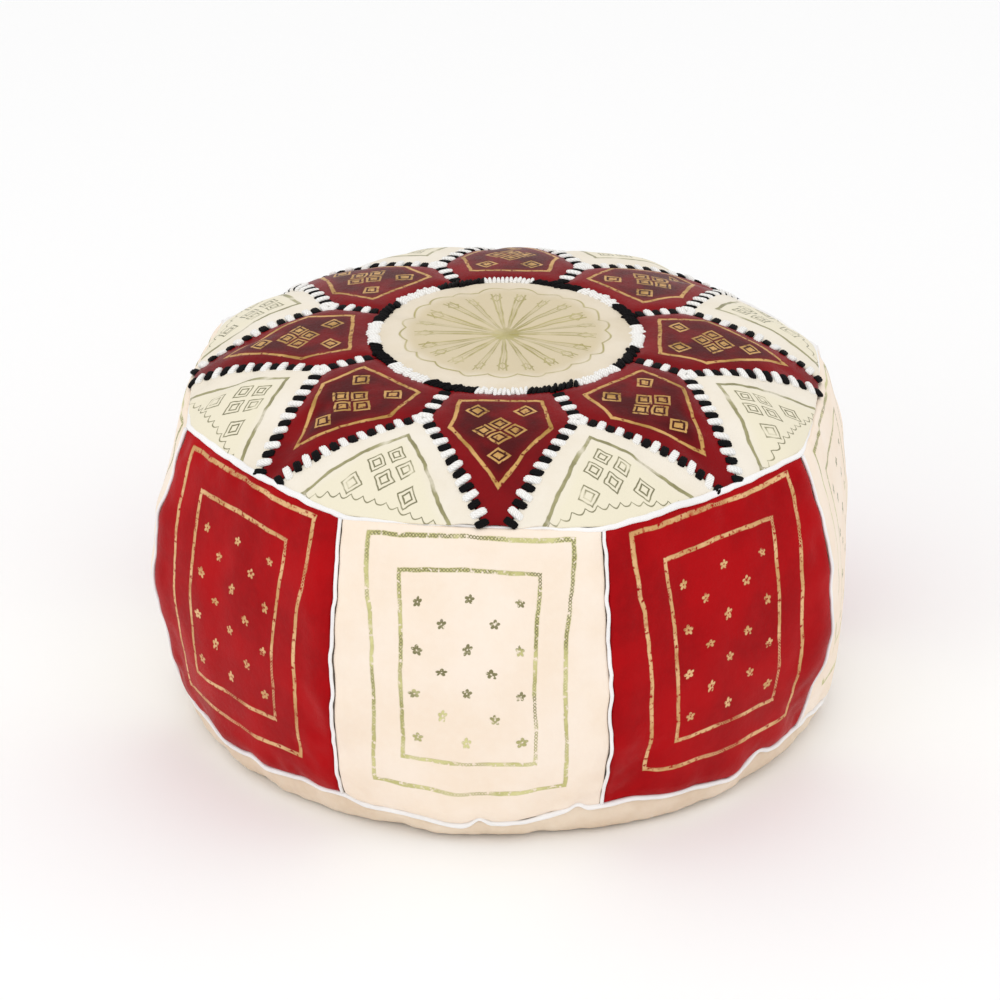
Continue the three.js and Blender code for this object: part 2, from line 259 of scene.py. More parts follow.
def makeForm():
    bm = bmesh.new()
    verts = [bm.verts.new((radius, 0, height)) for radius, height in profile]
    edges = [bm.edges.new(pair) for pair in zip(verts, verts[1:])]
    bmesh.ops.spin(
        bm, geom=verts + edges, axis=(0, 0, 1), cent=(0, 0, 0), angle=math.tau,
        steps=cover["columns"], use_merge=True,
    )
    bmesh.ops.remove_doubles(bm, verts=bm.verts, dist=1e-5)
    bmesh.ops.recalc_face_normals(bm, faces=bm.faces)
    bm.verts.index_update()
    index = np.zeros((len(profile), cover["columns"]), int)
    place = np.array(profile)
    for vert in bm.verts:
        radius = math.hypot(vert.co.x, vert.co.y)
        row = int(np.argmin(np.hypot(place[:, 0] - radius, place[:, 1] - vert.co.z)))
        if radius < 1e-5:
            index[row, :] = vert.index
            continue
        angle = math.atan2(vert.co.y, vert.co.x)
        index[row, round(math.degrees(angle) / columnStep) % cover["columns"]] = vert.index
        vert.co = formPoint(profile[row][0], profile[row][1], angle)
    mesh = bpy.data.meshes.new("coverForm")
    bm.to_mesh(mesh)
    bm.free()
    form = bpy.data.objects.new("coverForm", mesh)
    scene.collection.objects.link(form)
    return form, index


def relaxForm(form, index):
    # the leather is sewn at the seams and pushed out by the stuffing in between
    held = form.vertex_groups.new(name="seams")
    seamColumns = [c for c in range(cover["columns"]) if (c * columnStep) % panelTurn == halfTurn]
    pinned = set(index[:baseSeamRow + 1].ravel()) | set(index[rimRow])
    pinned |= set(index[baseSeamRow:rimRow, seamColumns].ravel())
    held.add([int(i) for i in pinned], 1.0, "REPLACE")
    cloth = form.modifiers.new("leather", "CLOTH")
    settings = cloth.settings
    settings.quality = 6
    settings.mass = 0.4
    settings.tension_stiffness = 30
    settings.compression_stiffness = 30
    settings.shear_stiffness = 12
    settings.bending_stiffness = 1.2
    settings.shrink_min = -cover["slack"]
    settings.use_pressure = True
    settings.uniform_pressure_force = cover["pressure"]
    settings.vertex_group_mass = "seams"
    settings.effector_weights.gravity = 0
    for step in range(1, cover["frames"] + 1):
        scene.frame_set(step)
    shaped = form.evaluated_get(bpy.context.evaluated_depsgraph_get()).data
    moved = np.array([v.co for v in shaped.vertices])
    scene.frame_set(1)
    return moved


star = {
    "twist": 4.5,
    "ringRadius": 0.102,  # the seam round the medallion
    "shoulderRadius": 0.151,  # where two petals part
    "tipRadius": 0.244,
    "tipHalfWidth": 0.0095,
}
shoulder = (
    star["shoulderRadius"] * math.cos(math.radians(halfTurn)),
    star["shoulderRadius"] * math.sin(math.radians(halfTurn)),
)
petalTip = (star["tipRadius"], star["tipHalfWidth"])


def starLines(angle, radius):
    # how far a point of the crown is from the nearest star seam, in metres
    turn = np.degrees(angle) + 90 - star["twist"]
    local = np.radians((turn + halfTurn) % panelTurn - halfTurn)
    x, y = radius * np.cos(local), np.abs(radius * np.sin(local))
    ring = np.abs(radius - star["ringRadius"])
    start, end = np.array(shoulder), np.array(petalTip)
    along = (end - start) / np.linalg.norm(end - start)
    arm = np.abs((x - start[0]) * along[1] - (y - start[1]) * along[0])
    stem = radius * np.sin(math.radians(halfTurn) - np.abs(local))
    return np.minimum(ring, np.where(radius > star["shoulderRadius"], arm, stem))


def finishedForm():
    form, index = makeForm()
    start = np.array([v.co for v in form.data.vertices])
    moved = relaxForm(form, index)
    move = moved - start
    length = np.linalg.norm(move, axis=1, keepdims=True)
    move *= np.minimum(1, cover["mostSwell"] / np.maximum(length, 1e-9))
    grid, shift = start[index], move[index]
    radius = np.array(profile)[:, 0]
    angle = np.radians(np.arange(cover["columns"]) * columnStep)[None, :]
    rows = np.arange(len(profile))[:, None]
    crownShare = smoothStep(starLines(angle, radius[:, None]), 0, 0.012)
    share = np.where(rows > rimRow, crownShare, 1)
    bpy.data.objects.remove(form)
    return grid + shift * share[..., None]


coverGrid = finishedForm()
print("cover form ready, most swell allowed", cover["mostSwell"])


def cubicWeights(t):
    # Catmull-Rom weights of four neighbours
    return np.array([
        -0.5 * t + t ** 2 - 0.5 * t ** 3,
        1 - 2.5 * t ** 2 + 1.5 * t ** 3,
        0.5 * t + 2 * t ** 2 - 1.5 * t ** 3,
        -0.5 * t ** 2 + 0.5 * t ** 3,
    ])


def coverPlace(row, degrees):
    row = np.clip(np.atleast_1d(np.asarray(row, float)), 0, topRow - 1e-6)
    column = np.atleast_1d(np.asarray(degrees, float)) / columnStep
    row, column = np.broadcast_arrays(row, column)
    i, j = np.floor(row).astype(int), np.floor(column).astype(int)
    inRow, inColumn = cubicWeights(row - i), cubicWeights(column - j)
    place = np.zeros(row.shape + (3,))
    for a in range(4):
        for b in range(4):
            corner = coverGrid[np.clip(i + a - 1, 0, topRow), (j + b - 1) % cover["columns"]]
            place += corner * (inRow[a] * inColumn[b])[..., None]
    return place


handSewing = {
    "drift": 0.5,  # degrees that an upright seam strays
    "driftReach": 8.0,
    # degrees at half height, seam by seam
    "lean": [-0.4, 0.3, -0.5, 0.4, 0.5, -0.6, 0.4, 1.3],
    "dent": 0.0050,
    "dentReach": 6.0,
    # degrees round the base seam, height, and reach in degrees
    "kinks": [
        (-88.3, 0.0050, 1.3), (-71.8, 0.0046, 1.3), (-108.5, -0.0030, 2.6), (-41.0, -0.0038, 2.8),
        (-34.5, 0.0056, 2.2), (-120.0, 0.0030, 2.2), (-133.0, 0.0036, 2.4), (-18.0, 0.0034, 2.2),
        (8.0, 0.0036, 2.2), (37.0, -0.0032, 2.8), (61.0, 0.0036, 2.2), (96.0, 0.0034, 2.4),
        (128.0, -0.0034, 2.6), (151.0, 0.0036, 2.2), (-163.0, 0.0034, 2.2),
    ],
}


def nearSeam(row, degrees, reach):
    # the number of the nearest upright seam, the share up it, and how much a point goes along with it
    seam = np.round((degrees - firstSeam) / panelTurn)
    away = (degrees - firstSeam - panelTurn * seam) / reach
    up = np.clip((row - baseSeamRow) / (rimRow - baseSeamRow), 0, 1)
    return seam % cover["panels"], up, np.exp(-away * away)


def twoNoises(seam, up, slow, quick, share):
    # a slow and a quick unevenness along every seam
    values = []
    for s, t in zip(seam.ravel(), up.ravel()):
        first = noise.noise(Vector((s * slow[0], t * slow[1], slow[2])))
        second = noise.noise(Vector((s * quick[0], t * quick[1], quick[2])))
        values.append(first + share * second)
    return np.array(values).reshape(seam.shape)


def sewnDegrees(row, degrees):
    # the upright seams stray from side to side, and the leather beside them goes along
    seam, up, along = nearSeam(row, degrees, handSewing["driftReach"])
    wander = twoNoises(seam, up, (7.3, 5.5, 0.4), (3.1, 15, 4.2), 0.5)
    lean = np.array(handSewing["lean"])[seam.astype(int)] * np.sin(np.pi * up)
    return degrees + (wander * 1.5 * handSewing["drift"] + lean) * along * np.sin(np.pi * up) ** 0.6


def seamDent(row, degrees):
    # the upright seams pull in here and there
    seam, up, along = nearSeam(row, degrees, handSewing["dentReach"])
    pull = twoNoises(seam, up, (5.7, 5.5, 8.6), (2.3, 14, 1.7), 0.4)
    return handSewing["dent"] * pull * along * np.sin(np.pi * up) ** 0.5


def seamKink(row, degrees):
    # short tucks in the base seam, where the leather is gathered in
    above = (row - baseSeamRow) / np.where(row > baseSeamRow, 1.3, 3.2)
    lift = np.zeros(np.shape(degrees))
    for middle, height, reach in handSewing["kinks"]:
        away = ((degrees - middle + 180) % 360 - 180) / reach
        lift = lift + height * np.exp(-away * away)
    return lift * np.exp(-above * above)


def coverFrame(row, degrees):
    # the place on the cover, the way out, and the way up the profile
    row, degrees = np.atleast_1d(np.asarray(row, float)), np.atleast_1d(np.asarray(degrees, float))
    row, degrees = np.broadcast_arrays(row, degrees)
    degrees = sewnDegrees(row, degrees)
    up = coverPlace(row + 0.08, degrees) - coverPlace(row - 0.08, degrees)
    across = coverPlace(row, degrees + 0.2) - coverPlace(row, degrees - 0.2)
    up /= np.linalg.norm(up, axis=-1, keepdims=True) + 1e-12
    out = np.cross(across, up)
    out /= np.linalg.norm(out, axis=-1, keepdims=True) + 1e-12
    place = coverPlace(row, degrees) + out * seamDent(row, degrees)[..., None]
    place[..., 2] += seamKink(row, degrees)
    return place, out, up


def crownRow(radius):
    radii = np.array([point[0] for point in profile[rimRow:]])
    return rimRow + np.interp(-np.asarray(radius), -radii, np.arange(len(radii)))


def baseRow(radius):
    radii = np.array([point[0] for point in profile[:baseSeamRow + 1]])
    return np.interp(radius, radii, np.arange(len(radii)))


def realRadius(radius, degrees):
    return radius * (1 + swellAt(radius, cover["rimHeight"], np.radians(degrees)))


def formRadius(real, degrees):
    # the radius on the round form of a point that ends up at a real radius
    radius = np.asarray(real, float)
    for _ in range(6):
        radius = real - radius * swellAt(radius, cover["rimHeight"], np.radians(degrees))
    return radius


mathNode = "ShaderNodeMath"
vectorNode = "ShaderNodeVectorMath"


def softLine(tree, distance, halfWidth, blur=0.0004):
    # 1 where a distance is within halfWidth of zero
    size = addNode(tree, mathNode, [distance], operation="ABSOLUTE")
    return addNode(
        tree, "ShaderNodeMapRange", [size, halfWidth + blur, halfWidth - blur, 0, 1],
        interpolation_type="SMOOTHSTEP",
    )


def patches(tree, coords, size, low, high, seed=0.0):
    # patchy 0 to 1, patches about this size in metres
    place = addNode(tree, vectorNode, [coords, (seed, seed, seed)], operation="ADD")
    spots = addNode(tree, "ShaderNodeTexNoise", {"Vector": place, "Scale": 1 / size, "Detail": 3})
    return addNode(tree, "ShaderNodeMapRange", [spots, low, high, 0, 1], interpolation_type="SMOOTHSTEP")


def wobbled(tree, uv, size, amount):
    # hand-drawn unsteadiness of a stamped line
    drift = addNode(tree, "ShaderNodeTexNoise", {"Vector": uv, "Scale": 1 / size, "Detail": 2}, output=1)
    drift = addNode(tree, vectorNode, [drift, (0.5, 0.5, 0.5)], operation="SUBTRACT")
    drift = addNode(tree, vectorNode, {0: drift, "Scale": amount * 3}, operation="SCALE")
    return addNode(tree, vectorNode, [uv, drift], operation="ADD")


leatherLooks = {
    "grain": 0.0011,
    "grainDepth": 0.00009,
    "creaseSize": 0.018,
    "creaseDepth": 0.0006,
    "mottleSize": 0.05,
}


def dyedLeather(name, looks, stamp=None):
    # goatskin, tanned, dyed by hand and burnished: fine pebble grain, cloudy colour, soft shine
    material, tree, shader = newMaterial(name)
    coords = addNode(tree, "ShaderNodeTexCoord", output=3)
    uv = addNode(tree, "ShaderNodeUVMap", uv_map="leather")
    cloud = patches(tree, coords, leatherLooks["mottleSize"], 0.3, 0.7)
    tone = addNode(
        tree, "ShaderNodeMix", {0: cloud, 6: colour(looks["deep"]), 7: colour(looks["colour"])},
        output=2, data_type="RGBA",
    )
    fine = patches(tree, coords, 0.006, 0.35, 0.75, 3.0)
    fine = addNode(tree, mathNode, [fine, looks.get("speckle", 0.25)], operation="MULTIPLY")
    tone = addNode(
        tree, "ShaderNodeMix", {0: fine, 6: tone, 7: colour(looks["fleck"])}, output=2, data_type="RGBA",
    )
    grain = addNode(
        tree, "ShaderNodeTexVoronoi", {"Vector": coords, "Scale": 1 / leatherLooks["grain"]},
        feature="SMOOTH_F1",
    )
    crease = addNode(
        tree, "ShaderNodeTexNoise",
        {"Vector": coords, "Scale": 1 / leatherLooks["creaseSize"], "Detail": 4, "Roughness": 0.6},
    )
    rough = addNode(
        tree, "ShaderNodeMapRange", [grain, 0.1, 0.7, looks["rough"] - 0.06, looks["rough"] + 0.1],
    )
    normal = addNode(
        tree, "ShaderNodeBump",
        {
            "Strength": 1.0,
            "Distance": leatherLooks["creaseDepth"] * looks.get("creased", 1),
            "Height": crease,
        },
    )
    normal = addNode(
        tree, "ShaderNodeBump",
        {"Strength": 0.8, "Distance": leatherLooks["grainDepth"], "Height": grain, "Normal": normal},
    )
    if stamp:
        foil, ink, core = stamp(tree, uv)
        tone = addNode(
            tree, "ShaderNodeMix", {0: core, 6: tone, 7: colour(looks.get("core", looks["deep"]))},
            output=2, data_type="RGBA",
        )
        foilTone = addNode(
            tree, "ShaderNodeMix",
            {
                0: patches(tree, uv, 0.02, 0.35, 0.65, 7.0),
                6: colour(looks["foilDeep"]),
                7: colour(looks["foil"]),
            },
            output=2, data_type="RGBA",
        )
        tone = addNode(tree, "ShaderNodeMix", {0: foil, 6: tone, 7: foilTone}, output=2, data_type="RGBA")
        tone = addNode(
            tree, "ShaderNodeMix", {0: ink, 6: tone, 7: colour(looks["ink"])}, output=2, data_type="RGBA",
        )
        sunk = addNode(tree, mathNode, [foil, ink], operation="MAXIMUM")
        normal = addNode(
            tree, "ShaderNodeBump",
            {"Strength": 0.9, "Distance": 0.0004, "Height": sunk, "Normal": normal}, invert=True,
        )
        shine = addNode(tree, mathNode, [foil, looks["foilMetal"]], operation="MULTIPLY")
        tree.links.new(shine, shader["Metallic"])
        rough = addNode(tree, "ShaderNodeMix", {0: foil, 2: rough, 3: 0.38}, data_type="FLOAT")
    tree.links.new(tone, shader["Base Color"])
    tree.links.new(rough, shader["Roughness"])
    tree.links.new(normal, shader["Normal"])
    shader["Specular IOR Level"].default_value = looks.get("specular", 0.4)
    return material


def split(tree, vector):
    node = addNode(tree, "ShaderNodeSeparateXYZ", [vector]).node
    return node.outputs[0], node.outputs[1]


# side panels: two stamped frames round staggered flowers
panelStamp = {
    "outer": (0.0793, 0.129, 0.099),  # half width, middle height and half height of a frame
    "inner": (0.0545, 0.1285, 0.0745),
    "line": 0.0017,
    "narrowed": 1.12,  # the frames draw in from half height down
    "flower": 0.0040,
    "columnPitch": 0.038,
    "rowPitch": 0.018,
    "middle": 0.1265,
    "flowersWide": 0.046,  # no flower further than this from the middle
    "flowersHigh": 0.061,
    "link": 0.0026,
}


def frameLine(tree, u, v, size):
    # distance to a rectangle's outline, and the place along it
    halfWidth, middle, halfHeight = size
    aside = addNode(
        tree, mathNode, [addNode(tree, mathNode, [u], operation="ABSOLUTE"), halfWidth],
        operation="SUBTRACT",
    )
    fromMiddle = addNode(tree, mathNode, [v, middle], operation="SUBTRACT")
    above = addNode(
        tree, mathNode, [addNode(tree, mathNode, [fromMiddle], operation="ABSOLUTE"), halfHeight],
        operation="SUBTRACT",
    )
    distance = addNode(tree, mathNode, [aside, above], operation="MAXIMUM")
    upright = addNode(tree, mathNode, [aside, above], operation="GREATER_THAN")
    along = addNode(tree, "ShaderNodeMix", {0: upright, 2: u, 3: v}, data_type="FLOAT")
    return distance, along


def chainLinks(tree, distance, along, link):
    # the roulette rolls a row of small rings along the line
    turn = addNode(tree, mathNode, [along, link], operation="DIVIDE")
    turn = addNode(
        tree, mathNode, [addNode(tree, mathNode, [turn], operation="FRACT"), 0.5], operation="SUBTRACT",
    )
    turn = addNode(tree, mathNode, [turn, link], operation="MULTIPLY")
    corner = addNode(tree, "ShaderNodeCombineXYZ", [turn, distance])
    reach = addNode(tree, vectorNode, [corner], output=1, operation="LENGTH")
    ring = addNode(tree, mathNode, [reach, link * 0.40], operation="SUBTRACT")
    return softLine(tree, ring, link * 0.13, 0.0003)


def flowers(tree, p):
    # two interleaved square lattices of five-petalled flowers
    pitch = (panelStamp["columnPitch"], 2 * panelStamp["rowPitch"], 1)
    nearest = None
    for shift in (0.5, 0.0):
        place = addNode(
            tree, vectorNode,
            [
                p, tuple(1 / size for size in pitch),
                (shift, shift - panelStamp["middle"] / pitch[1] + 0.5, 0),
            ],
            operation="MULTIPLY_ADD",
        )
        place = addNode(tree, vectorNode, [place], operation="FRACTION")
        place = addNode(tree, vectorNode, [place, (0.5, 0.5, 0)], operation="SUBTRACT")
        place = addNode(tree, vectorNode, [place, (*pitch[:2], 0)], operation="MULTIPLY")
        reach = addNode(tree, vectorNode, [place], output=1, operation="LENGTH")
        if nearest is None:
            nearest, nearestReach = place, reach
        else:
            closer = addNode(tree, mathNode, [reach, nearestReach], operation="LESS_THAN")
            nearest = addNode(
                tree, "ShaderNodeMix", {0: closer, 4: nearest, 5: place}, output=1, data_type="VECTOR",
            )
            nearestReach = addNode(tree, mathNode, [reach, nearestReach], operation="MINIMUM")
    x, y = split(tree, nearest)
    angle = addNode(tree, mathNode, [x, y], operation="ARCTAN2")
    lobes = addNode(
        tree, mathNode, [addNode(tree, mathNode, [angle, 2.5], operation="MULTIPLY")], operation="COSINE",
    )
    lobes = addNode(tree, mathNode, [lobes], operation="ABSOLUTE")
    outline = addNode(
        tree, mathNode, [lobes, panelStamp["flower"] * 0.5, panelStamp["flower"] * 0.5],
        operation="MULTIPLY_ADD",
    )
    inside = addNode(tree, mathNode, [outline, nearestReach], operation="SUBTRACT")
    body = addNode(tree, "ShaderNodeMapRange", [inside, -0.0003, 0.0003, 0, 1])
    hole = addNode(tree, "ShaderNodeMapRange", [nearestReach, 0.0004, 0.0009, 0, 1])
    u, v = split(tree, p)
    within = addNode(
        tree, mathNode, [addNode(tree, mathNode, [u], operation="ABSOLUTE"), panelStamp["flowersWide"]],
        operation="LESS_THAN",
    )
    above = addNode(tree, mathNode, [v, panelStamp["middle"]], operation="SUBTRACT")
    above = addNode(
        tree, mathNode, [addNode(tree, mathNode, [above], operation="ABSOLUTE"), panelStamp["flowersHigh"]],
        operation="LESS_THAN",
    )
    mask = body
    for share in (hole, within, above):
        mask = addNode(tree, mathNode, [mask, share], operation="MULTIPLY")
    return mask


def panelStamping(tree, uv, inked):
    p = wobbled(tree, uv, 0.05, 0.0022)
    p = wobbled(tree, p, 0.008, 0.0003)
    u, v = split(tree, p)
    narrow = addNode(
        tree, "ShaderNodeMapRange", [v, seamSpan * 0.95, seamSpan * 0.5, 1, panelStamp["narrowed"]],
        interpolation_type="SMOOTHSTEP",
    )
    u = addNode(tree, mathNode, [u, narrow], operation="MULTIPLY")
    lines, links = [], []
    for size in (panelStamp["outer"], panelStamp["inner"]):
        distance, along = frameLine(tree, u, v, size)
        lines.append(softLine(tree, distance, panelStamp["line"]))
        links.append(chainLinks(tree, distance, along, panelStamp["link"]))
    line = addNode(tree, mathNode, lines, operation="MAXIMUM")
    chain = addNode(tree, mathNode, links, operation="MAXIMUM")
    petals = flowers(tree, wobbled(tree, uv, 0.045, 0.0045))
    solid = patches(tree, uv, 0.045, 0.34, 0.44, 1.0)
    worn = patches(tree, uv, 0.0032, 0.32, 0.48, 4.0)
    rubbed = patches(tree, uv, 0.03, 0.26, 0.38, 9.0)
    filled = addNode(
        tree, mathNode, [line, addNode(tree, mathNode, [solid, chain], operation="MAXIMUM")],
        operation="MULTIPLY",
    )
    foil = addNode(tree, mathNode, [filled, petals], operation="MAXIMUM")
    for wear in (worn, rubbed):
        foil = addNode(tree, mathNode, [foil, wear], operation="MULTIPLY")
    if not inked:
        return foil, 0.0, 0.0
    high = addNode(tree, "ShaderNodeMapRange", [v, 0.05, 0.12, 0.15, 1], interpolation_type="SMOOTHSTEP")
    dark = addNode(tree, mathNode, [patches(tree, uv, 0.05, 0.40, 0.50, 12.0), high], operation="MULTIPLY")
    ink = addNode(
        tree, mathNode, [addNode(tree, mathNode, [chain, line], operation="MULTIPLY"), petals],
        operation="MAXIMUM",
    )
    for share in (dark, worn, 0.75):
        ink = addNode(tree, mathNode, [ink, share], operation="MULTIPLY")
    return foil, ink, 0.0


# star: petals and triangles carry a border and a clover of diamonds
petalStamp = {
    "line": 0.0015,
    "innerEdge": 0.119,
    "sides": [((0.119, 0.030), (0.155, 0.038)), ((0.155, 0.038), (0.216, 0.0))],
    "diamonds": [(0.1512, 0), (0.1690, 0), (0.160, 0.0115), (0.134, 0.0175), (0.188, 0)],
    "leaf": (0.0086, 0.0096),
}
triangleStamp = {
    "line": 0.0014,
    "sides": [((0.177, 0.0), (0.239, 0.062))],
    "scallopEdge": 0.2365,
    "scallopDepth": 0.0036,
    "scallop": 0.0095,
    "diamonds": [(0.198, 0), (0.221, 0), (0.2095, 0.0118), (0.228, 0.0225)],
    "leaf": (0.0094, 0.0086),
}


def lineDistance(tree, p, start, end):
    # signed distance outside a straight side
    dx, dy = end[0] - start[0], end[1] - start[1]
    length = math.hypot(dx, dy)
    out = (-dy / length, dx / length, 0)
    dot = addNode(tree, vectorNode, [p, out], output=1, operation="DOT_PRODUCT")
    return addNode(tree, mathNode, [dot, out[0] * start[0] + out[1] * start[1]], operation="SUBTRACT")


def diamonds(tree, p, centres, leaf):
    # 0 in the middle of the nearest diamond, 1 at its edge
    nearest = None
    for x, y in centres:
        place = addNode(tree, vectorNode, [p, (x, y, 0)], operation="SUBTRACT")
        place = addNode(tree, vectorNode, [place], operation="ABSOLUTE")
        reach = addNode(
            tree, vectorNode, [place, (1 / leaf[0], 1 / leaf[1], 0)], output=1, operation="DOT_PRODUCT",
        )
        if nearest is None:
            nearest = reach
        else:
            nearest = addNode(tree, mathNode, [nearest, reach], operation="MINIMUM")
    return nearest


def folded(tree, p):
    # both halves of a symmetrical motif from one
    u, v = split(tree, p)
    return addNode(tree, "ShaderNodeCombineXYZ", [u, addNode(tree, mathNode, [v], operation="ABSOLUTE")])


def petalStamping(tree, uv):
    p = folded(tree, wobbled(tree, wobbled(tree, uv, 0.03, 0.0018), 0.009, 0.0006))
    sides = [lineDistance(tree, p, *side) for side in petalStamp["sides"]]
    u, _ = split(tree, p)
    inner = addNode(tree, mathNode, [petalStamp["innerEdge"], u], operation="SUBTRACT")
    border = addNode(
        tree, mathNode, [addNode(tree, mathNode, sides, operation="MAXIMUM"), inner], operation="MAXIMUM",
    )
    line = softLine(tree, border, petalStamp["line"])
    reach = diamonds(tree, p, petalStamp["diamonds"], petalStamp["leaf"])
    leaf = addNode(tree, "ShaderNodeMapRange", [reach, 1.0, 0.93, 0, 1])
    groove = softLine(tree, addNode(tree, mathNode, [reach, 0.55], operation="SUBTRACT"), 0.12, 0.06)
    solid = addNode(tree, mathNode, [leaf, groove], operation="SUBTRACT", use_clamp=True)
    foil = addNode(tree, mathNode, [line, solid], operation="MAXIMUM")
    worn = patches(tree, uv, 0.004, 0.30, 0.46, 4.0)
    ink = addNode(
        tree, mathNode, [addNode(tree, mathNode, [leaf, groove], operation="MULTIPLY"), 0.55],
        operation="MULTIPLY",
    )
    core = addNode(
        tree, "ShaderNodeMapRange", [border, 0.006, -0.012, 0, 1], interpolation_type="SMOOTHSTEP",
    )
    core = addNode(tree, mathNode, [core, patches(tree, uv, 0.03, 0.2, 0.6, 15.0)], operation="MULTIPLY")
    return addNode(tree, mathNode, [foil, worn], operation="MULTIPLY"), ink, core


def triangleStamping(tree, uv):
    p = folded(tree, wobbled(tree, wobbled(tree, uv, 0.03, 0.0022), 0.009, 0.0008))
    u, v = split(tree, p)
    border = lineDistance(tree, p, *triangleStamp["sides"][0])
    line = softLine(tree, border, triangleStamp["line"])
    inside = addNode(tree, mathNode, [u, triangleStamp["scallopEdge"] + 0.002], operation="LESS_THAN")
    line = addNode(tree, mathNode, [line, inside], operation="MULTIPLY")
    turn = addNode(tree, mathNode, [v, math.pi / triangleStamp["scallop"]], operation="MULTIPLY")
    wave = addNode(
        tree, mathNode, [addNode(tree, mathNode, [turn], operation="SINE")], operation="ABSOLUTE",
    )
    edge = addNode(
        tree, mathNode, [wave, triangleStamp["scallopDepth"], triangleStamp["scallopEdge"]],
        operation="MULTIPLY_ADD",
    )
    scallops = softLine(tree, addNode(tree, mathNode, [u, edge], operation="SUBTRACT"), 0.0004, 0.0005)
    within = addNode(tree, mathNode, [border, 0.0], operation="LESS_THAN")
    scallops = addNode(tree, mathNode, [scallops, within], operation="MULTIPLY")
    reach = diamonds(tree, p, triangleStamp["diamonds"], triangleStamp["leaf"])
    outline = softLine(tree, addNode(tree, mathNode, [reach, 0.9], operation="SUBTRACT"), 0.07, 0.06)
    inner = softLine(tree, addNode(tree, mathNode, [reach, 0.45], operation="SUBTRACT"), 0.08, 0.06)
    outlines = addNode(tree, mathNode, [outline, inner], operation="MAXIMUM")
    worn = patches(tree, uv, 0.02, 0.28, 0.5, 4.0)
    thin = addNode(tree, mathNode, [outlines, scallops], operation="MAXIMUM")
    foil = addNode(tree, mathNode, [line, thin], operation="MAXIMUM")
    ink = addNode(
        tree, mathNode, [thin, addNode(tree, mathNode, [worn, 0.5], operation="MULTIPLY")],
        operation="MULTIPLY",
    )
    worn = addNode(tree, mathNode, [worn, 0.7, 0.25], operation="MULTIPLY_ADD")
    core = addNode(
        tree, "ShaderNodeMapRange", [border, 0.006, -0.010, 0, 1], interpolation_type="SMOOTHSTEP",
    )
    return addNode(tree, mathNode, [foil, worn], operation="MULTIPLY"), ink, core


medallionStamp = {"spokes": 21, "spokeEnd": 0.070, "drop": 0.062, "rim": 0.080, "hub": 0.011}


def medallionStamping(tree, uv):
    p = wobbled(tree, uv, 0.03, 0.0014)
    x, y = split(tree, p)
    reach = addNode(tree, vectorNode, [p], output=1, operation="LENGTH")
    angle = addNode(tree, mathNode, [y, x], operation="ARCTAN2")
    turn = addNode(
        tree, mathNode, [angle, medallionStamp["spokes"] / math.tau, 0.5], operation="MULTIPLY_ADD",
    )
    turn = addNode(
        tree, mathNode, [addNode(tree, mathNode, [turn], operation="FRACT"), 0.5], operation="SUBTRACT",
    )
    aside = addNode(tree, mathNode, [turn, reach], operation="MULTIPLY")
    aside = addNode(tree, mathNode, [aside, math.tau / medallionStamp["spokes"]], operation="MULTIPLY")
    flare = addNode(tree, mathNode, [reach, 0.045], operation="MULTIPLY")
    edge = addNode(
        tree, mathNode, [addNode(tree, mathNode, [aside], operation="ABSOLUTE"), flare],
        operation="SUBTRACT",
    )
    spoke = addNode(tree, mathNode, [softLine(tree, aside, 0.0005, 0.0005), 0.5], operation="MULTIPLY")
    spoke = addNode(tree, mathNode, [softLine(tree, edge, 0.0006, 0.0005), spoke], operation="MAXIMUM")
    within = addNode(tree, mathNode, [reach, medallionStamp["spokeEnd"]], operation="LESS_THAN")
    spoke = addNode(tree, mathNode, [spoke, within], operation="MULTIPLY")
    corner = addNode(
        tree, "ShaderNodeCombineXYZ",
        [aside, addNode(tree, mathNode, [reach, medallionStamp["drop"]], operation="SUBTRACT")],
    )
    corner = addNode(tree, vectorNode, [corner], operation="ABSOLUTE")
    corner = addNode(
        tree, vectorNode, [corner, (1 / 0.0052, 1 / 0.0068, 0)], output=1, operation="DOT_PRODUCT",
    )
    drop = softLine(tree, addNode(tree, mathNode, [corner, 0.85], operation="SUBTRACT"), 0.12, 0.1)
    wave = addNode(tree, mathNode, [turn, math.pi], operation="MULTIPLY")
    wave = addNode(
        tree, mathNode,
        [addNode(tree, mathNode, [wave], operation="COSINE"), 0.0045, medallionStamp["rim"] - 0.003],
        operation="MULTIPLY_ADD",
    )
    rim = softLine(tree, addNode(tree, mathNode, [reach, wave], operation="SUBTRACT"), 0.0008, 0.0006)
    hub = addNode(
        tree, "ShaderNodeMapRange",
        [reach, medallionStamp["hub"] + 0.001, medallionStamp["hub"] - 0.001, 0, 1],
    )
    marks = spoke
    for mark in (drop, rim, hub):
        marks = addNode(tree, mathNode, [marks, mark], operation="MAXIMUM")
    worn = patches(tree, uv, 0.02, 0.25, 0.6, 4.0)
    worn = addNode(tree, mathNode, [worn, 0.6, 0.35], operation="MULTIPLY_ADD")
    core = addNode(tree, "ShaderNodeMapRange", [reach, 0.084, 0.070, 0, 1], interpolation_type="SMOOTHSTEP")
    return addNode(tree, mathNode, [marks, worn], operation="MULTIPLY"), 0.0, core


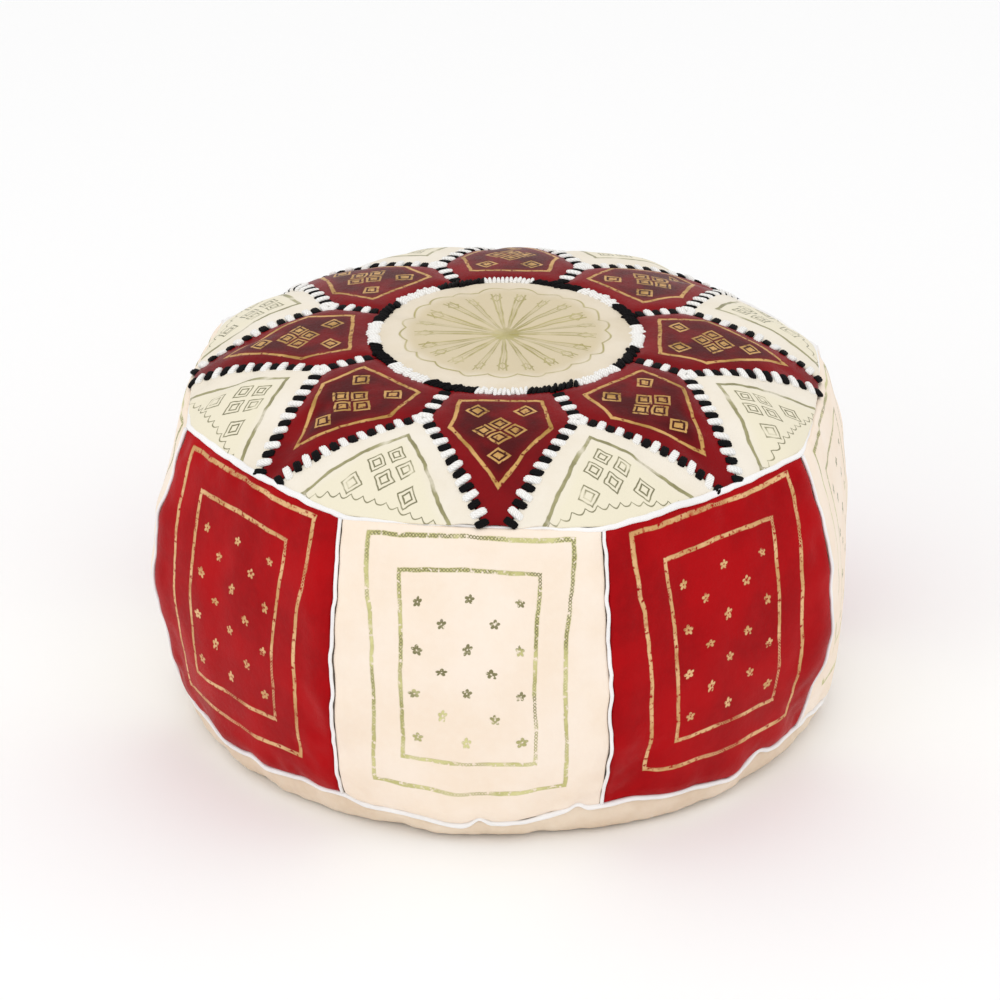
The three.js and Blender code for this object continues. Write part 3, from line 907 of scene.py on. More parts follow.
cherryGoatskin = dyedLeather(
    "cherryGoatskinGoldStamped",
    {
        "colour": "#AE020A", "deep": "#980108", "fleck": "#B6040E", "rough": 0.40, "specular": 0.08,
        "foil": "#E6BB88", "foilDeep": "#CC9C66", "foilMetal": 0.15, "ink": "#3A0306",
    },
    lambda tree, uv: panelStamping(tree, uv, False),
)
creamGoatskin = dyedLeather(
    "creamGoatskinOliveStamped",
    {
        "colour": "#F8E9D9", "deep": "#F5E3CF", "fleck": "#FBF0E3", "rough": 0.52, "speckle": 0.15,
        "specular": 0.2, "foil": "#D8D398", "foilDeep": "#C2BD7E", "foilMetal": 0.1, "ink": "#57503C",
    },
    lambda tree, uv: panelStamping(tree, uv, True),
)
burgundyGoatskin = dyedLeather(
    "burgundyGoatskinGoldStamped",
    {
        "colour": "#84030B", "deep": "#6C0208", "fleck": "#8C050D", "core": "#4C0206", "rough": 0.38,
        "specular": 0.1, "foil": "#D6A868", "foilDeep": "#B08644", "foilMetal": 0.3, "ink": "#2A0A05",
    },
    petalStamping,
)
ivoryGoatskin = dyedLeather(
    "ivoryGoatskinOliveStamped",
    {
        "colour": "#F0E8DA", "deep": "#EBE1CF", "fleck": "#F4EDE0", "core": "#ECE4CC", "rough": 0.5,
        "speckle": 0.15, "specular": 0.2, "foil": "#A29D70", "foilDeep": "#827D52", "foilMetal": 0.1,
        "ink": "#4E4A38",
    },
    triangleStamping,
)
medallionGoatskin = dyedLeather(
    "ivoryGoatskinRosette",
    {
        "colour": "#E6DAC6", "deep": "#DDCFB6", "fleck": "#EDE3D2", "core": "#D5C6A6", "rough": 0.48,
        "speckle": 0.15, "specular": 0.2, "foil": "#B9AE74", "foilDeep": "#A39859", "foilMetal": 0.1,
        "ink": "#5F5A44",
    },
    medallionStamping,
)
baseGoatskin = dyedLeather(
    "naturalGoatskinBase",
    {
        "colour": "#EEDDC8", "deep": "#E2CDB4", "fleck": "#F3E6D6", "rough": 0.6, "speckle": 0.2,
        "creased": 2.2, "specular": 0.15,
    },
)
pipingGoatskin = dyedLeather(
    "whiteGoatskinPiping",
    {
        "colour": "#F8F6F5", "deep": "#EFEDEC", "fleck": "#FFFFFF", "rough": 0.5, "speckle": 0.1,
        "creased": 1.5,
    },
)


def spunCotton(name, tone, shade, specular, fuzz):
    # mercerised cotton yarn, several plies: slanting ridges with painted shadow between them in the colour,
    # faint fuzz
    material, tree, shader = newMaterial(name)
    uv = addNode(tree, "ShaderNodeUVMap", uv_map="leather")
    ply = addNode(tree, "ShaderNodeMapping", {"Vector": uv, "Rotation": (0, 0, 0.6)})
    wave = addNode(
        tree, "ShaderNodeTexWave", {"Vector": ply, "Scale": 2.6, "Distortion": 1.2, "Detail": 2},
        output=1, wave_type="BANDS", bands_direction="Y",
    )
    # painted shade: the colour drops to the shade colour in the grooves between the ridges
    base = addNode(
        tree, "ShaderNodeMix", {0: wave, 6: colour(shade), 7: colour(tone)}, output=2, data_type="RGBA",
    )
    normal = addNode(tree, "ShaderNodeBump", {"Strength": 0.45, "Distance": 0.0003, "Height": wave})
    tree.links.new(base, shader["Base Color"])
    tree.links.new(normal, shader["Normal"])
    shader["Roughness"].default_value = 0.72
    shader["Specular IOR Level"].default_value = specular
    shader["Sheen Weight"].default_value = fuzz
    return material


# the second colour of each yarn is its painted shade between the plies
whiteYarn = spunCotton("whiteCottonYarn", "#FEFDFB", "#E6E3DD", 0.2, 0.1)
blackYarn = spunCotton("blackCottonYarn", "#100E10", "#030203", 0.12, 0.0)


def wovenCotton(name, tone, shade, thread):
    # plain-weave cotton: warp and weft cross every thread, matt, with painted shade where the threads dip
    material, tree, shader = newMaterial(name)
    uv = addNode(tree, "ShaderNodeUVMap", uv_map="leather")
    threads = [
        addNode(
            tree, "ShaderNodeTexWave", {"Vector": uv, "Scale": 1 / thread / math.tau, "Distortion": 0.4},
            output=1, wave_type="BANDS", bands_direction=way,
        )
        for way in ("X", "Y")
    ]
    weave = addNode(tree, mathNode, threads, operation="MULTIPLY")
    # painted shade: darker colour where the weave is low, between the threads
    base = addNode(
        tree, "ShaderNodeMix", {0: weave, 6: colour(shade), 7: colour(tone)}, output=2, data_type="RGBA",
    )
    normal = addNode(tree, "ShaderNodeBump", {"Strength": 0.6, "Distance": thread / 3, "Height": weave})
    tree.links.new(base, shader["Base Color"])
    tree.links.new(normal, shader["Normal"])
    shader["Roughness"].default_value = 0.9
    return material


# the second colour is the painted shade between the threads
cottonSheeting = wovenCotton("unbleachedCottonSheeting", "#EDE5D3", "#D8CDB6", 0.0009)


def lumpyCotton():
    # carded cotton waste: soft matt clumps, mixed off-white fibres
    material, tree, shader = newMaterial("cardedCottonStuffing")
    coords = addNode(tree, "ShaderNodeTexCoord", output=3)
    clumps = patches(tree, coords, 0.03, 0.3, 0.7)
    fibres = addNode(
        tree, "ShaderNodeTexNoise", {"Vector": coords, "Scale": 900, "Detail": 5, "Distortion": 2},
    )
    base = addNode(
        tree, "ShaderNodeMix", {0: clumps, 6: colour("#D9CFBC"), 7: colour("#EFE8DA")}, output=2,
        data_type="RGBA",
    )
    normal = addNode(tree, "ShaderNodeBump", {"Strength": 0.8, "Distance": 0.001, "Height": fibres})
    tree.links.new(base, shader["Base Color"])
    tree.links.new(normal, shader["Normal"])
    shader["Roughness"].default_value = 0.95
    return material


cottonStuffing = lumpyCotton()


def zipTape():
    # woven polyester tape: fine herringbone ribs along its length, with painted shade in the grooves
    # between them
    material, tree, shader = newMaterial("wovenPolyesterZipTape")
    coords = addNode(tree, "ShaderNodeTexCoord", output=3)
    ribs = addNode(
        tree, "ShaderNodeTexWave", {"Vector": coords, "Scale": 1 / 0.0011 / math.tau, "Distortion": 0.3},
        output=1, wave_type="BANDS", bands_direction="DIAGONAL",
    )
    # painted shade: #BFAE92 in the grooves between the ribs, #DCCDB3 on their tops
    base = addNode(
        tree, "ShaderNodeMix", {0: ribs, 6: colour("#BFAE92"), 7: colour("#DCCDB3")}, output=2,
        data_type="RGBA",
    )
    normal = addNode(tree, "ShaderNodeBump", {"Strength": 0.6, "Distance": 0.0003, "Height": ribs})
    tree.links.new(base, shader["Base Color"])
    tree.links.new(normal, shader["Normal"])
    shader["Roughness"].default_value = 0.85
    return material


def rolledBrass():
    # pressed brass, tumbled and lacquered: warm metal, faint scratches, duller in patches
    material, tree, shader = newMaterial("pressedBrassZip")
    coords = addNode(tree, "ShaderNodeTexCoord", output=3)
    dull = patches(tree, coords, 0.004, 0.35, 0.65)
    base = addNode(
        tree, "ShaderNodeMix", {0: dull, 6: colour("#A9823F"), 7: colour("#C9A45C")}, output=2,
        data_type="RGBA",
    )
    rough = addNode(tree, "ShaderNodeMapRange", [dull, 0, 1, 0.42, 0.26])
    scratches = addNode(tree, "ShaderNodeTexNoise", {"Vector": coords, "Scale": 1500, "Detail": 2})
    normal = addNode(tree, "ShaderNodeBump", {"Strength": 0.2, "Distance": 0.0001, "Height": scratches})
    tree.links.new(base, shader["Base Color"])
    tree.links.new(rough, shader["Roughness"])
    tree.links.new(normal, shader["Normal"])
    shader["Metallic"].default_value = 1
    return material


zipTapeCloth = zipTape()
zipBrass = rolledBrass()
print("materials ready")


# leather pieces: a grid or a spun sheet laid on the cover, its edges rolled into the seams
leather = {"thickness": 0.0022, "roll": 0.0034, "puff": 0.0008, "puffReach": 0.010}


def rolled(distance, roll=None):
    # how far below the cover's face a point lies this far from the edge of its piece
    roll = roll or leather["roll"]
    inside = np.clip(roll - distance, 0, roll)
    return -(roll - np.sqrt(np.maximum(roll * roll - inside * inside, 0)))


def puffed(distance):
    return leather["puff"] * (1 - np.exp(-np.maximum(distance, 0) / leather["puffReach"]))


def cosineSpaced(share):
    # grid lines crowd towards both ends, where the leather rolls over
    return 0.5 - 0.5 * np.cos(np.pi * np.clip(share, 0, 1))


def layOn(bm, row, degrees, lift, u, v):
    place, out, _ = coverFrame(row, degrees)
    place = place + out * np.asarray(lift)[:, None]
    verts = list(bm.verts)
    for vert, spot in zip(verts, place):
        vert.co = spot
    layer = bm.loops.layers.uv.get("leather") or bm.loops.layers.uv.new("leather")
    bm.verts.index_update()
    for face in bm.faces:
        for loop in face.loops:
            loop[layer].uv = (u[loop.vert.index], v[loop.vert.index])


def gridSquare(across, along):
    bm = bmesh.new()
    bmesh.ops.create_grid(bm, x_segments=across, y_segments=along, size=0.5)
    place = np.array([v.co for v in bm.verts])
    return bm, place[:, 0] + 0.5, place[:, 1] + 0.5


def faceOut(piece):
    # turn an open sheet so that it faces away from the middle of the pouf
    mesh = piece.data
    middle = Vector((0, 0, cover["rimHeight"] / 2))
    facing = sum((p.center - middle).normalized().dot(p.normal) for p in mesh.polygons)
    if facing < 0:
        mesh.flip_normals()


def addWall(piece, thickness):
    wall = piece.modifiers.new("wall", "SOLIDIFY")
    wall.thickness = thickness
    wall.offset = -1


def finishLeather(piece):
    faceOut(piece)
    addWall(piece, leather["thickness"])
    soften = piece.modifiers.new("soften", "SUBSURF")
    soften.levels = 1
    soften.render_levels = 1


def panelDegrees(number):
    return -90 + (number - 1) * panelTurn


sidePanel = {
    "across": 56,
    "along": 52,
    "seamRoom": 0.0009,
    "pucker": 0.0011,
    "puckerReach": 0.013,
    "puckerFineness": 75,
    "crease": 0.0011,
    "creaseFineness": (42, 9),
    "creaseReach": 0.02,  # from a seam to where the creases have their full depth
}


def puckers(u, v, distance, seed):
    # gathers square to the seams, and a few soft creases up the middle
    fine = sidePanel["puckerFineness"]
    wide, tall = sidePanel["creaseFineness"]
    lift = []
    for a, b, d in zip(u, v, np.maximum(distance, 0)):
        gather = noise.noise(Vector((a * fine, b * fine, seed)))
        gather += 0.5 * noise.noise(Vector((a * 2 * fine, b * 2 * fine, seed + 3)))
        gather *= sidePanel["pucker"] * math.exp(-d / sidePanel["puckerReach"])
        crease = noise.noise(Vector((a * wide, b * tall, seed + 7))) * sidePanel["crease"]
        lift.append(gather + crease * min(d / sidePanel["creaseReach"], 1))
    return np.array(lift)


def makeSidePanel(number):
    bm, x, y = gridSquare(sidePanel["across"], sidePanel["along"])
    x, y = cosineSpaced(x) * 2 - 1, cosineSpaced(y)
    meanRadius = (cover["rimRadius"] + cover["baseSeamRadius"]) / 2 + 0.004
    halfWidth = meanRadius * math.pi / cover["panels"]
    edge = sidePanel["seamRoom"]
    u = x * (halfWidth - edge)
    v = edge + y * (seamSpan - 2 * edge)
    distance = np.minimum(halfWidth - np.abs(u), np.minimum(v, seamSpan - v)) - edge
    lift = rolled(distance) + puffed(distance) + puckers(u, v, distance, number * 11.0)
    degrees = panelDegrees(number) + halfTurn * u / halfWidth
    row = baseSeamRow + (rimRow - baseSeamRow) * v / seamSpan
    layOn(bm, row, degrees, lift, u, v)
    bmesh.ops.recalc_face_normals(bm, faces=bm.faces)
    if number % 2:
        tone, skin, slotName = "cream", creamGoatskin, "cream_leather"
    else:
        tone, skin, slotName = "red", cherryGoatskin, "cherry_leather"
    piece = newPiece(
        f"sidePanel{number}{tone.title()}", bm, [skin], stands=[f"side_panel_{number}_{tone}"],
    )
    finishLeather(piece)


for number in panelNumbers:
    makeSidePanel(number)
print("side panels laid")


starPiece = {"across": 20, "along": 26, "jointRoom": 0.0003, "roll": 0.0024, "rimRoom": 0.0012}


def armDegrees(side, radius, axis):
    # where the seam between a petal and a triangle crosses a circle of the round form
    start, end = np.array(shoulder), np.array(petalTip)
    way = end - start
    angle = np.full(np.shape(radius), halfTurn * side)
    for _ in range(5):
        real = np.maximum(realRadius(radius, axis + angle), star["shoulderRadius"])
        half = start @ way
        t = (-half + np.sqrt(half ** 2 - way @ way * (start @ start - real ** 2))) / (way @ way)
        angle = side * np.degrees(np.arctan2(start[1] + t * way[1], start[0] + t * way[0]))
    return np.where(radius < star["shoulderRadius"], halfTurn * side, angle)


def layStarPiece(bm, x, y, axis, innerRadius, lowSide, highSide):
    # rows are arcs, so a piece runs from one seam to the next at every radius
    outer = cover["rimRadius"] - starPiece["rimRoom"]
    radius = innerRadius + (outer - innerRadius) * cosineSpaced(y)
    low, high = lowSide(radius), highSide(radius)
    width = np.radians(high - low) * radius
    room = starPiece["jointRoom"]
    aside = room + cosineSpaced(x) * np.maximum(width - 2 * room, 0.0004)
    degrees = low + (high - low) * aside / np.maximum(width, 1e-6)
    distance = np.minimum(
        np.minimum(aside, width - aside), np.minimum(radius - innerRadius, outer - radius),
    )
    lift = rolled(distance, starPiece["roll"]) + puffed(distance)
    real = realRadius(radius, degrees)
    local = np.radians(degrees - axis)
    layOn(bm, crownRow(radius), degrees, lift, real * np.cos(local), real * np.sin(local))


def petalAxis(number):
    return panelDegrees(number) + star["twist"]


def makePetal(number):
    bm, x, y = gridSquare(starPiece["across"], starPiece["along"])
    axis = petalAxis(number)
    layStarPiece(
        bm, x, y, axis, star["ringRadius"] + starPiece["jointRoom"],
        lambda radius: axis + armDegrees(-1, radius, axis),
        lambda radius: axis + armDegrees(1, radius, axis),
    )
    piece = newPiece(
        f"starPetal{number}", bm, [burgundyGoatskin], stands=[f"star_petal_{number}"],
    )
    finishLeather(piece)


def makeTriangle(number):
    bm, x, y = gridSquare(starPiece["across"], starPiece["along"])
    before, after = petalAxis(number), petalAxis(number + 1)
    layStarPiece(
        bm, x, y, before + halfTurn, star["shoulderRadius"] + 0.0015,
        lambda radius: before + armDegrees(1, radius, before),
        lambda radius: after + armDegrees(-1, radius, after),
    )
    piece = newPiece(
        f"topTriangle{number}", bm, [ivoryGoatskin], stands=[f"top_triangle_{number}"],
    )
    finishLeather(piece)


for number in panelNumbers:
    makePetal(number)
    makeTriangle(number)


def spunSheet(points, steps):
    bm = bmesh.new()
    verts = [bm.verts.new((radius, 0, height)) for radius, height in points]
    edges = [bm.edges.new(pair) for pair in zip(verts, verts[1:])]
    bmesh.ops.spin(
        bm, geom=verts + edges, axis=(0, 0, 1), cent=(0, 0, 0), angle=math.tau, steps=steps, use_merge=True,
    )
    bmesh.ops.remove_doubles(bm, verts=bm.verts, dist=1e-5)
    return bm


medallionPiece = {"rings": 14, "steps": 96}


def makeMedallion():
    outer = star["ringRadius"] - starPiece["jointRoom"]
    rings = medallionPiece["rings"]
    points = [(outer * math.sin(math.pi / 2 * step / rings), 0) for step in range(rings + 1)]
    bm = spunSheet(points, medallionPiece["steps"])
    place = np.array([v.co for v in bm.verts])
    radius = np.hypot(place[:, 0], place[:, 1])
    degrees = np.degrees(np.arctan2(place[:, 1], place[:, 0]))
    distance = outer - radius
    lift = rolled(distance, starPiece["roll"]) + puffed(distance)
    layOn(bm, crownRow(radius), degrees, lift, place[:, 0], place[:, 1])
    piece = newPiece(
        "centreMedallion", bm, [medallionGoatskin], stands=["centre_medallion"],
    )
    finishLeather(piece)


makeMedallion()
print("star top laid")


# piping: strips of white leather folded round a cord and sewn into the seams
piping = {
    "rimRadius": 0.0017,
    "sideRadius": 0.0014,
    "baseRadius": 0.0021,
    "sides": 10,
    "ringSteps": 720,
    "sideSteps": 70,
    "sunk": 0.0003,
    "rimSunk": 0.0042,  # the cream panels hide the rim piping
    "rimPlump": 0.0010,
    "wander": ((45, 0.0009), (110, 0.0006)),  # fineness and height of its unevenness
    "pinch": (90, 0.18),
}


def sectionRing(radius):
    bm = bmesh.new()
    bmesh.ops.create_circle(
        bm, segments=piping["sides"], radius=radius, matrix=Matrix.Rotation(math.pi / 2, 4, "X"),
    )
    return bm


def makePipingRing(name, node, row, radius, hidden=0.0):
    bm = sectionRing(radius)
    bmesh.ops.translate(bm, verts=bm.verts, vec=(1, 0, 0))
    bmesh.ops.spin(
        bm, geom=bm.verts[:] + bm.edges[:], axis=(0, 0, 1), cent=(0, 0, 0), angle=math.tau,
        steps=piping["ringSteps"], use_merge=True,
    )
    place = np.array([v.co for v in bm.verts])
    degrees = np.degrees(np.arctan2(place[:, 1], place[:, 0]))
    overCream = 0.5 + 0.5 * np.cos(np.radians(cover["panels"] / 2 * (degrees + 90)))
    plump = 1 + (piping["rimPlump"] / radius if hidden else 0) * (1 - overCream)
    outward = (np.hypot(place[:, 0], place[:, 1]) - 1) * plump - hidden * overCream
    layTube(bm, np.full(len(place), float(row)), degrees, outward, place[:, 2] * plump)
    finishTube(newPiece(name, bm, [pipingGoatskin], stands=[node]))


def layTube(bm, row, degrees, outward, aside, upright=False):
    place, out, up = coverFrame(row, degrees)
    sideways = np.cross(up, out) if upright else up
    pinchFineness, pinchDepth = piping["pinch"]
    spots = []
    for spot, o, s, a, b in zip(place, out, sideways, outward, aside):
        wander = sum(noise.noise(Vector(spot) * fine) * height for fine, height in piping["wander"])
        pinch = 1 + noise.noise(Vector(spot) * pinchFineness + Vector((3, 1, 2))) * pinchDepth
        spots.append(spot + o * (a * pinch - piping["sunk"]) + s * (b * pinch + wander))
    layer = bm.loops.layers.uv.new("leather")
    bm.verts.index_update()
    for vert, spot in zip(bm.verts, spots):
        vert.co = spot
    for face in bm.faces:
        for loop in face.loops:
            loop[layer].uv = (degrees[loop.vert.index] * 0.0045, row[loop.vert.index] * 0.01)


def finishTube(piece):
    bm = bmesh.new()
    bm.from_mesh(piece.data)
    bmesh.ops.holes_fill(bm, edges=bm.edges)
    bmesh.ops.recalc_face_normals(bm, faces=bm.faces)
    bm.to_mesh(piece.data)
    bm.free()
    piece.data.shade_smooth()


def makeSidePiping(number):
    bm = sectionRing(piping["sideRadius"])
    turnUp = Matrix.Rotation(math.pi / 2, 4, "X")
    bmesh.ops.transform(bm, verts=bm.verts, matrix=turnUp)
    bmesh.ops.spin(
        bm, geom=bm.verts[:] + bm.edges[:], axis=(0, 0, 1), cent=(0, 0, 0),
        dvec=(0, 0, 1 / piping["sideSteps"]), angle=0, steps=piping["sideSteps"], use_duplicate=False,
    )
    bmesh.ops.remove_doubles(bm, verts=bm.verts, dist=1e-6)
    place = np.array([v.co for v in bm.verts])
    row = baseSeamRow + 0.15 + (rimRow - baseSeamRow - 0.3) * place[:, 2]
    degrees = np.full(len(place), panelDegrees(number) + halfTurn)
    layTube(bm, row, degrees, place[:, 0], place[:, 1], upright=True)
    piece = newPiece(
        f"sidePiping{number}", bm, [pipingGoatskin], stands=[f"side_piping_{number}"],
    )
    finishTube(piece)


makePipingRing("rimPiping", "rim_piping", rimRow, piping["rimRadius"], piping["rimSunk"])
makePipingRing("basePiping", "base_piping", baseSeamRow, piping["baseRadius"])
for number in panelNumbers:
    makeSidePiping(number)
print("piping sewn in")


# whipped thread: plump bars of a few strands across every star seam
whipping = {
    "pitch": 0.0070,
    "strands": 3,
    "strandHalfWidth": 0.00155,
    "strandPitch": 0.0016,
    "whiteHalfLength": 0.0068,
    "blackHalfLength": 0.0057,
    "height": 0.0023,
    "whiteHeight": 1.15,  # the white yarn is thicker
    "blackHeight": 0.85,
    "outerStrand": (0.95, 0.9),  # its length and height against the middle one
    "stemFrom": 0.109,
    "ringLoopPitch": 0.0033,
    "ringHalfLength": 0.0058,
}


def strandShape():
    # a short length of yarn that dives into the leather at both ends
    bm = bmesh.new()
    bm.loops.layers.uv.new("leather")
    bmesh.ops.create_uvsphere(bm, u_segments=8, v_segments=8, radius=1, calc_uvs=True)
    for vert in bm.verts:
        reach = math.hypot(vert.co.x, vert.co.y)
        if reach > 1e-6:
            full = max(1 - abs(vert.co.z) ** 4, 0.0) ** 0.5
            vert.co.x *= full / reach
            vert.co.y *= full / reach
    mesh = bpy.data.meshes.new("strand")
    bm.to_mesh(mesh)
    bm.free()
    return mesh


strand = strandShape()


def addStrand(bm, centre, along, across, out, halfWidth, halfLength, height, material):
    before = len(bm.verts)
    faces = len(bm.faces)
    bm.from_mesh(strand)
    bm.verts.ensure_lookup_table()
    bm.faces.ensure_lookup_table()
    matrix = Matrix((along * halfWidth, out * height, across * halfLength)).transposed().to_4x4()
    matrix.translation = centre
    bmesh.ops.transform(bm, verts=bm.verts[before:], matrix=matrix)
    for face in bm.faces[faces:]:
        face.material_index = material


def planFrame(x, y, way):
    # place and directions on the crown over a point of the plan, for a seam that runs this way
    degrees = math.degrees(math.atan2(y, x))
    radius = float(formRadius(math.hypot(x, y), degrees))
    place, out, _ = coverFrame(crownRow(radius), degrees)
    out = Vector(out[0])
    along = Vector((way[0], way[1], 0))
    along = (along - out * along.dot(out)).normalized()
    return Vector(place[0]), along, out.cross(along), out


def addBar(bm, x, y, way, isWhite):
    place, along, across, out = planFrame(x, y, way)
    slant = chance.uniform(-0.14, 0.06)
    turned = (across + along * slant).normalized()
    tone = "white" if isWhite else "black"
    halfLength = whipping[tone + "HalfLength"] * chance.uniform(0.92, 1.06)
    height = whipping["height"] * whipping[tone + "Height"] * chance.uniform(0.92, 1.08)
    middle = (whipping["strands"] - 1) / 2
    for index in range(whipping["strands"]):
        offset = (index - middle) * whipping["strandPitch"]
        centre = place + along * offset + turned * chance.uniform(-0.0004, 0.0004) + out * 0.0003
        shorter, lower = (1, 1) if index == middle else whipping["outerStrand"]
        halfWidth = whipping["strandHalfWidth"] * chance.uniform(0.95, 1.12)
        addStrand(
            bm, centre, along, turned, out, halfWidth, halfLength * shorter, height * lower,
            0 if isWhite else 1,
        )


def makeStarStitching(number):
    bm = bmesh.new()
    bm.loops.layers.uv.new("leather")
    stemAngle = math.radians(petalAxis(number) + halfTurn)
    way = (math.cos(stemAngle), math.sin(stemAngle))
    count = round((star["shoulderRadius"] - whipping["stemFrom"]) / whipping["pitch"])
    for index in range(count):
        radius = whipping["stemFrom"] + (index + 0.5) * whipping["pitch"]
        addBar(bm, way[0] * radius, way[1] * radius, way, index % 2 == 1)
    for axis, side in ((petalAxis(number), 1), (petalAxis(number + 1), -1)):
        turn = math.radians(axis)
        start = Vector((shoulder[0], shoulder[1] * side))
        end = Vector((petalTip[0], petalTip[1] * side))
        start.rotate(Matrix.Rotation(turn, 2))
        end.rotate(Matrix.Rotation(turn, 2))
        line = end - start
        bars = round(line.length / whipping["pitch"])
        for index in range(bars):
            spot = start + line * ((index + 0.62) / bars)
            addBar(bm, spot.x, spot.y, line.normalized(), index % 2 == 0)
    newPiece(
        f"starStitching{number}", bm, [whiteYarn, blackYarn], stands=[f"star_stitching_{number}"],
    )


def makeRingStitching():
    bm = bmesh.new()
    bm.loops.layers.uv.new("leather")
    blocks = 2 * cover["panels"]
    perBlock = round(math.tau * star["ringRadius"] / blocks / whipping["ringLoopPitch"])
    step = halfTurn / perBlock
    for block in range(blocks):
        isWhite = block % 2 == 0
        for index in range(perBlock):
            degrees = petalAxis(1) + halfTurn * block + (index - (perBlock - 1) / 2) * step
            turn = math.radians(degrees)
            way = (-math.sin(turn), math.cos(turn))
            x, y = star["ringRadius"] * math.cos(turn), star["ringRadius"] * math.sin(turn)
            place, along, across, out = planFrame(x, y, way)
            slant = chance.uniform(-0.2, 0.2) if isWhite else 0.65 + chance.uniform(-0.1, 0.1)
            turned = (across + along * slant).normalized()
            beside = turned.cross(out)
            place += across * chance.uniform(-0.0015, 0.0015) + out * 0.0004
            halfWidth = whipping["ringLoopPitch"] * (0.52 if isWhite else 0.56)
            halfLength = whipping["ringHalfLength"] * chance.uniform(0.85, 1.15)
            height = whipping["height"] * chance.uniform(1.0, 1.5)
            addStrand(
                bm, place, beside, turned, out, halfWidth, halfLength, height, 0 if isWhite else 1,
            )
    newPiece(
        "medallionStitching", bm, [whiteYarn, blackYarn], stands=["medallion_stitching"],
    )


for number in panelNumbers:
    makeStarStitching(number)
makeRingStitching()
print("star and medallion whipped")


# base: two halves of plain leather, turned up into the zip
slotLow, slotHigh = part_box("zip_tape_back")
slot = {"halfLength": slotHigh.x + 0.002, "halfWidth": 0.012, "flange": slotLow.z - 0.0004}
base = {
    "steps": 360,
    "jointRoom": 0.00015,
    "pleat": 0.004,
    "finePleat": 0.0016,
    "pleatFrom": (0.236, 0.246),  # the pleats begin and end between these radii
    "pleatTo": (0.2545, 0.257),
    "seamRoll": 0.002,
}


def cutAcross(bm, point, way, clear=False):
    bmesh.ops.bisect_plane(
        bm, geom=bm.verts[:] + bm.edges[:] + bm.faces[:], dist=1e-6, plane_co=point, plane_no=way,
        clear_outer=clear, clear_inner=False,
    )


def openSlot(bm, halfLength, halfWidth):
    for side in (-1, 1):
        cutAcross(bm, (side * halfLength, 0, 0), (1, 0, 0))
        cutAcross(bm, (0, side * halfWidth, 0), (0, 1, 0))
    inside = [
        face for face in bm.faces
        if abs(face.calc_center_median().x) < halfLength and abs(face.calc_center_median().y) < halfWidth
        and face.calc_center_median().z < 0.01
    ]
    bmesh.ops.delete(bm, geom=inside, context="FACES")


def onSlot(place):
    # whether a point lies on a long side of the slot
    nearSide = abs(abs(place.y) - slot["halfWidth"]) < 1e-5
    return nearSide and abs(place.x) <= slot["halfLength"] + 1e-5


def makeBaseHalf(name, node, side):
    points = [(max(point[0], 0.0), 0.0) for point in profile[:baseSeamRow]]
    last = points[-1][0]
    points += [(last + (cover["baseSeamRadius"] - last) * share, 0.0) for share in (0.4, 0.7, 0.9)]
    bm = spunSheet(points, base["steps"])
    cutAcross(bm, (0, -side * base["jointRoom"], 0), (0, -side, 0), clear=True)
    openSlot(bm, slot["halfLength"], slot["halfWidth"])
    rim = [edge for edge in bm.edges if edge.is_boundary and all(onSlot(v.co) for v in edge.verts)]
    turned = set(bmesh.ops.extrude_edge_only(bm, edges=rim)["geom"])
    bm.verts.index_update()
    flange = np.array([v in turned for v in bm.verts])
    place = np.array([v.co for v in bm.verts])
    radius = np.hypot(place[:, 0], place[:, 1])
    degrees = np.degrees(np.arctan2(place[:, 1], place[:, 0]))
    around = [Vector((math.cos(math.radians(d)), math.sin(math.radians(d)), 0)) for d in degrees]
    fold = np.array([
        max(noise.noise(a * 7), 0) * base["pleat"] + noise.noise(a * 24) * base["finePleat"] for a in around
    ])
    pleat = fold * smoothStep(radius, *base["pleatFrom"]) * (1 - smoothStep(radius, *base["pleatTo"]))
    distance = cover["baseSeamRadius"] - radius - 0.0002
    lift = rolled(np.maximum(distance, 0), base["seamRoll"]) - pleat
    lift = np.where(radius < cover["footRadius"], 0, lift)
    layOn(bm, baseRow(radius), degrees, lift, place[:, 0], place[:, 1])
    for vert, up in zip(bm.verts, flange):
        vert.co.z = max(vert.co.z, 0.0)
        if up:
            vert.co.z = slot["flange"]
    piece = newPiece(name, bm, [baseGoatskin], stands=[node])
    finishLeather(piece)


makeBaseHalf("baseHalfFront", "base_half_front", -1)
makeBaseHalf("baseHalfBack", "base_half_back", 1)
print("base laid")


# the stuffing and its cotton bag
inside = {
    "steps": 120,
    "liningDepth": 0.0066,
    "liningThickness": 0.0008,
    "fillingDepth": 0.0085,
    "lump": 0.006,
    "channelHeight": 0.0135,  # room over the zip
    "channelRoom": (0.006, 0.009),
}


def innerProfile():
    return [point for index, point in enumerate(profile) if index % 2 == 0 or index in (0, topRow)]


def layInner(bm, depth, lump=0.0):
    place = np.array([v.co for v in bm.verts])
    radius = np.hypot(place[:, 0], place[:, 1])
    degrees = np.degrees(np.arctan2(place[:, 1], place[:, 0]))
    low = place[:, 2] <= cover["baseSeamHeight"] + 1e-6
    high = place[:, 2] >= cover["rimHeight"] + 1e-6
    sideRow = baseSeamRow + (rimRow - baseSeamRow) * (place[:, 2] - cover["baseSeamHeight"]) / seamSpan
    row = np.where(low, baseRow(radius), np.where(high, crownRow(radius), sideRow))
    lumps = np.array([abs(noise.noise(Vector(p) * 22)) for p in place]) * lump
    layOn(bm, row, degrees, -depth - lumps, np.radians(degrees) * 0.26, radius + place[:, 2])


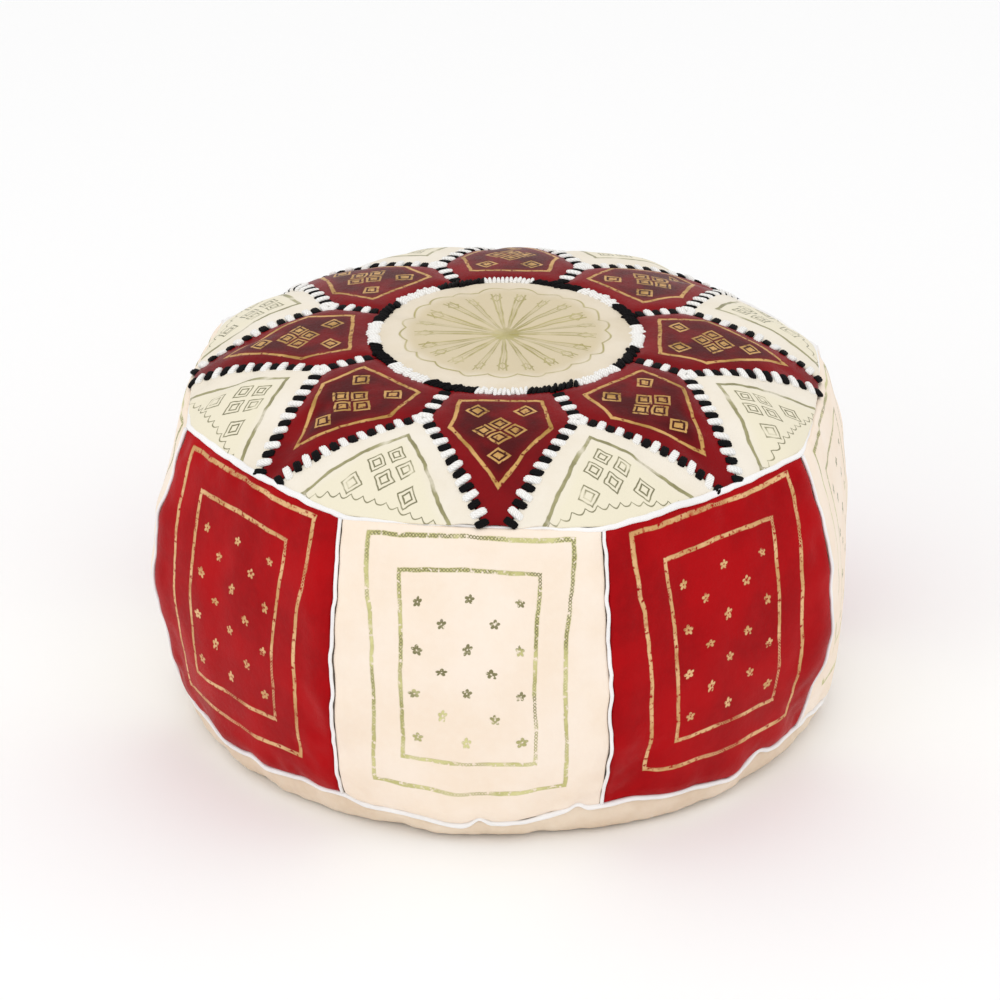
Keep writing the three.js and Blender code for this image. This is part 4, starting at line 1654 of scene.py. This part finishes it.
def makeFilling():
    bm = spunSheet(innerProfile(), inside["steps"])
    layInner(bm, inside["fillingDepth"], inside["lump"])
    endRoom, sideRoom = inside["channelRoom"]
    for vert in bm.verts:
        x, y, z = vert.co
        overSlot = abs(y) < slot["halfWidth"] + sideRoom and abs(x) < slot["halfLength"] + endRoom
        if overSlot and z < cover["rimHeight"] / 2:
            vert.co.z = max(z, inside["channelHeight"])
    bmesh.ops.recalc_face_normals(bm, faces=bm.faces)
    piece = newPiece("cottonStuffing", bm, [cottonStuffing], stands=["filling"])


def makeLining():
    bm = spunSheet(innerProfile(), inside["steps"])
    openSlot(bm, slot["halfLength"] + 0.004, slot["halfWidth"] + 0.008)
    layInner(bm, inside["liningDepth"])
    piece = newPiece("cottonLining", bm, [cottonSheeting], stands=["cotton_lining"])
    faceOut(piece)
    addWall(piece, inside["liningThickness"])


makeFilling()
makeLining()
print("stuffing and lining made")


for node in ("zip_tape_front", "zip_tape_back"):
    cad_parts[node].data.materials.clear()
    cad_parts[node].data.materials.append(zipTapeCloth)
for node in ("zip_slider", "zip_pull", "zip_top_stop", "zip_bottom_stop"):
    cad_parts[node].data.materials.clear()
    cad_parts[node].data.materials.append(zipBrass)

zipTeeth = {
    "pitch": 0.003,
    "thickness": 0.0014,
    "reach": 0.0006,
    "back": 0.0039,
    "bevel": 0.00035,
    "endRoom": 0.0008,
}


def makeTeeth(name, node, side):
    low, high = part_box(node)
    bm = bmesh.new()
    count = int((high.x - low.x) / zipTeeth["pitch"])
    shift = 0 if side < 0 else zipTeeth["pitch"] / 2
    centreY = side * (zipTeeth["back"] - zipTeeth["reach"]) / 2
    size = (zipTeeth["thickness"], zipTeeth["back"] + zipTeeth["reach"], high.z - low.z)
    for index in range(count):
        x = low.x + zipTeeth["endRoom"] + shift + index * zipTeeth["pitch"]
        matrix = Matrix.Translation((x, centreY, (low.z + high.z) / 2)) @ Matrix.Diagonal((*size, 1))
        made = bmesh.ops.create_cube(bm, size=1, matrix=matrix)["verts"]
        edges = list({edge for vert in made for edge in vert.link_edges})
        bmesh.ops.bevel(
            bm, geom=edges, offset=zipTeeth["bevel"], affect="EDGES", segments=1, profile=0.5, material=-1,
            offset_type="OFFSET",
        )
    newPiece(name, bm, [zipBrass], stands=[node])


makeTeeth("zipTeethFront", "zip_teeth_front", -1)
makeTeeth("zipTeethBack", "zip_teeth_back", 1)
print("zip made")
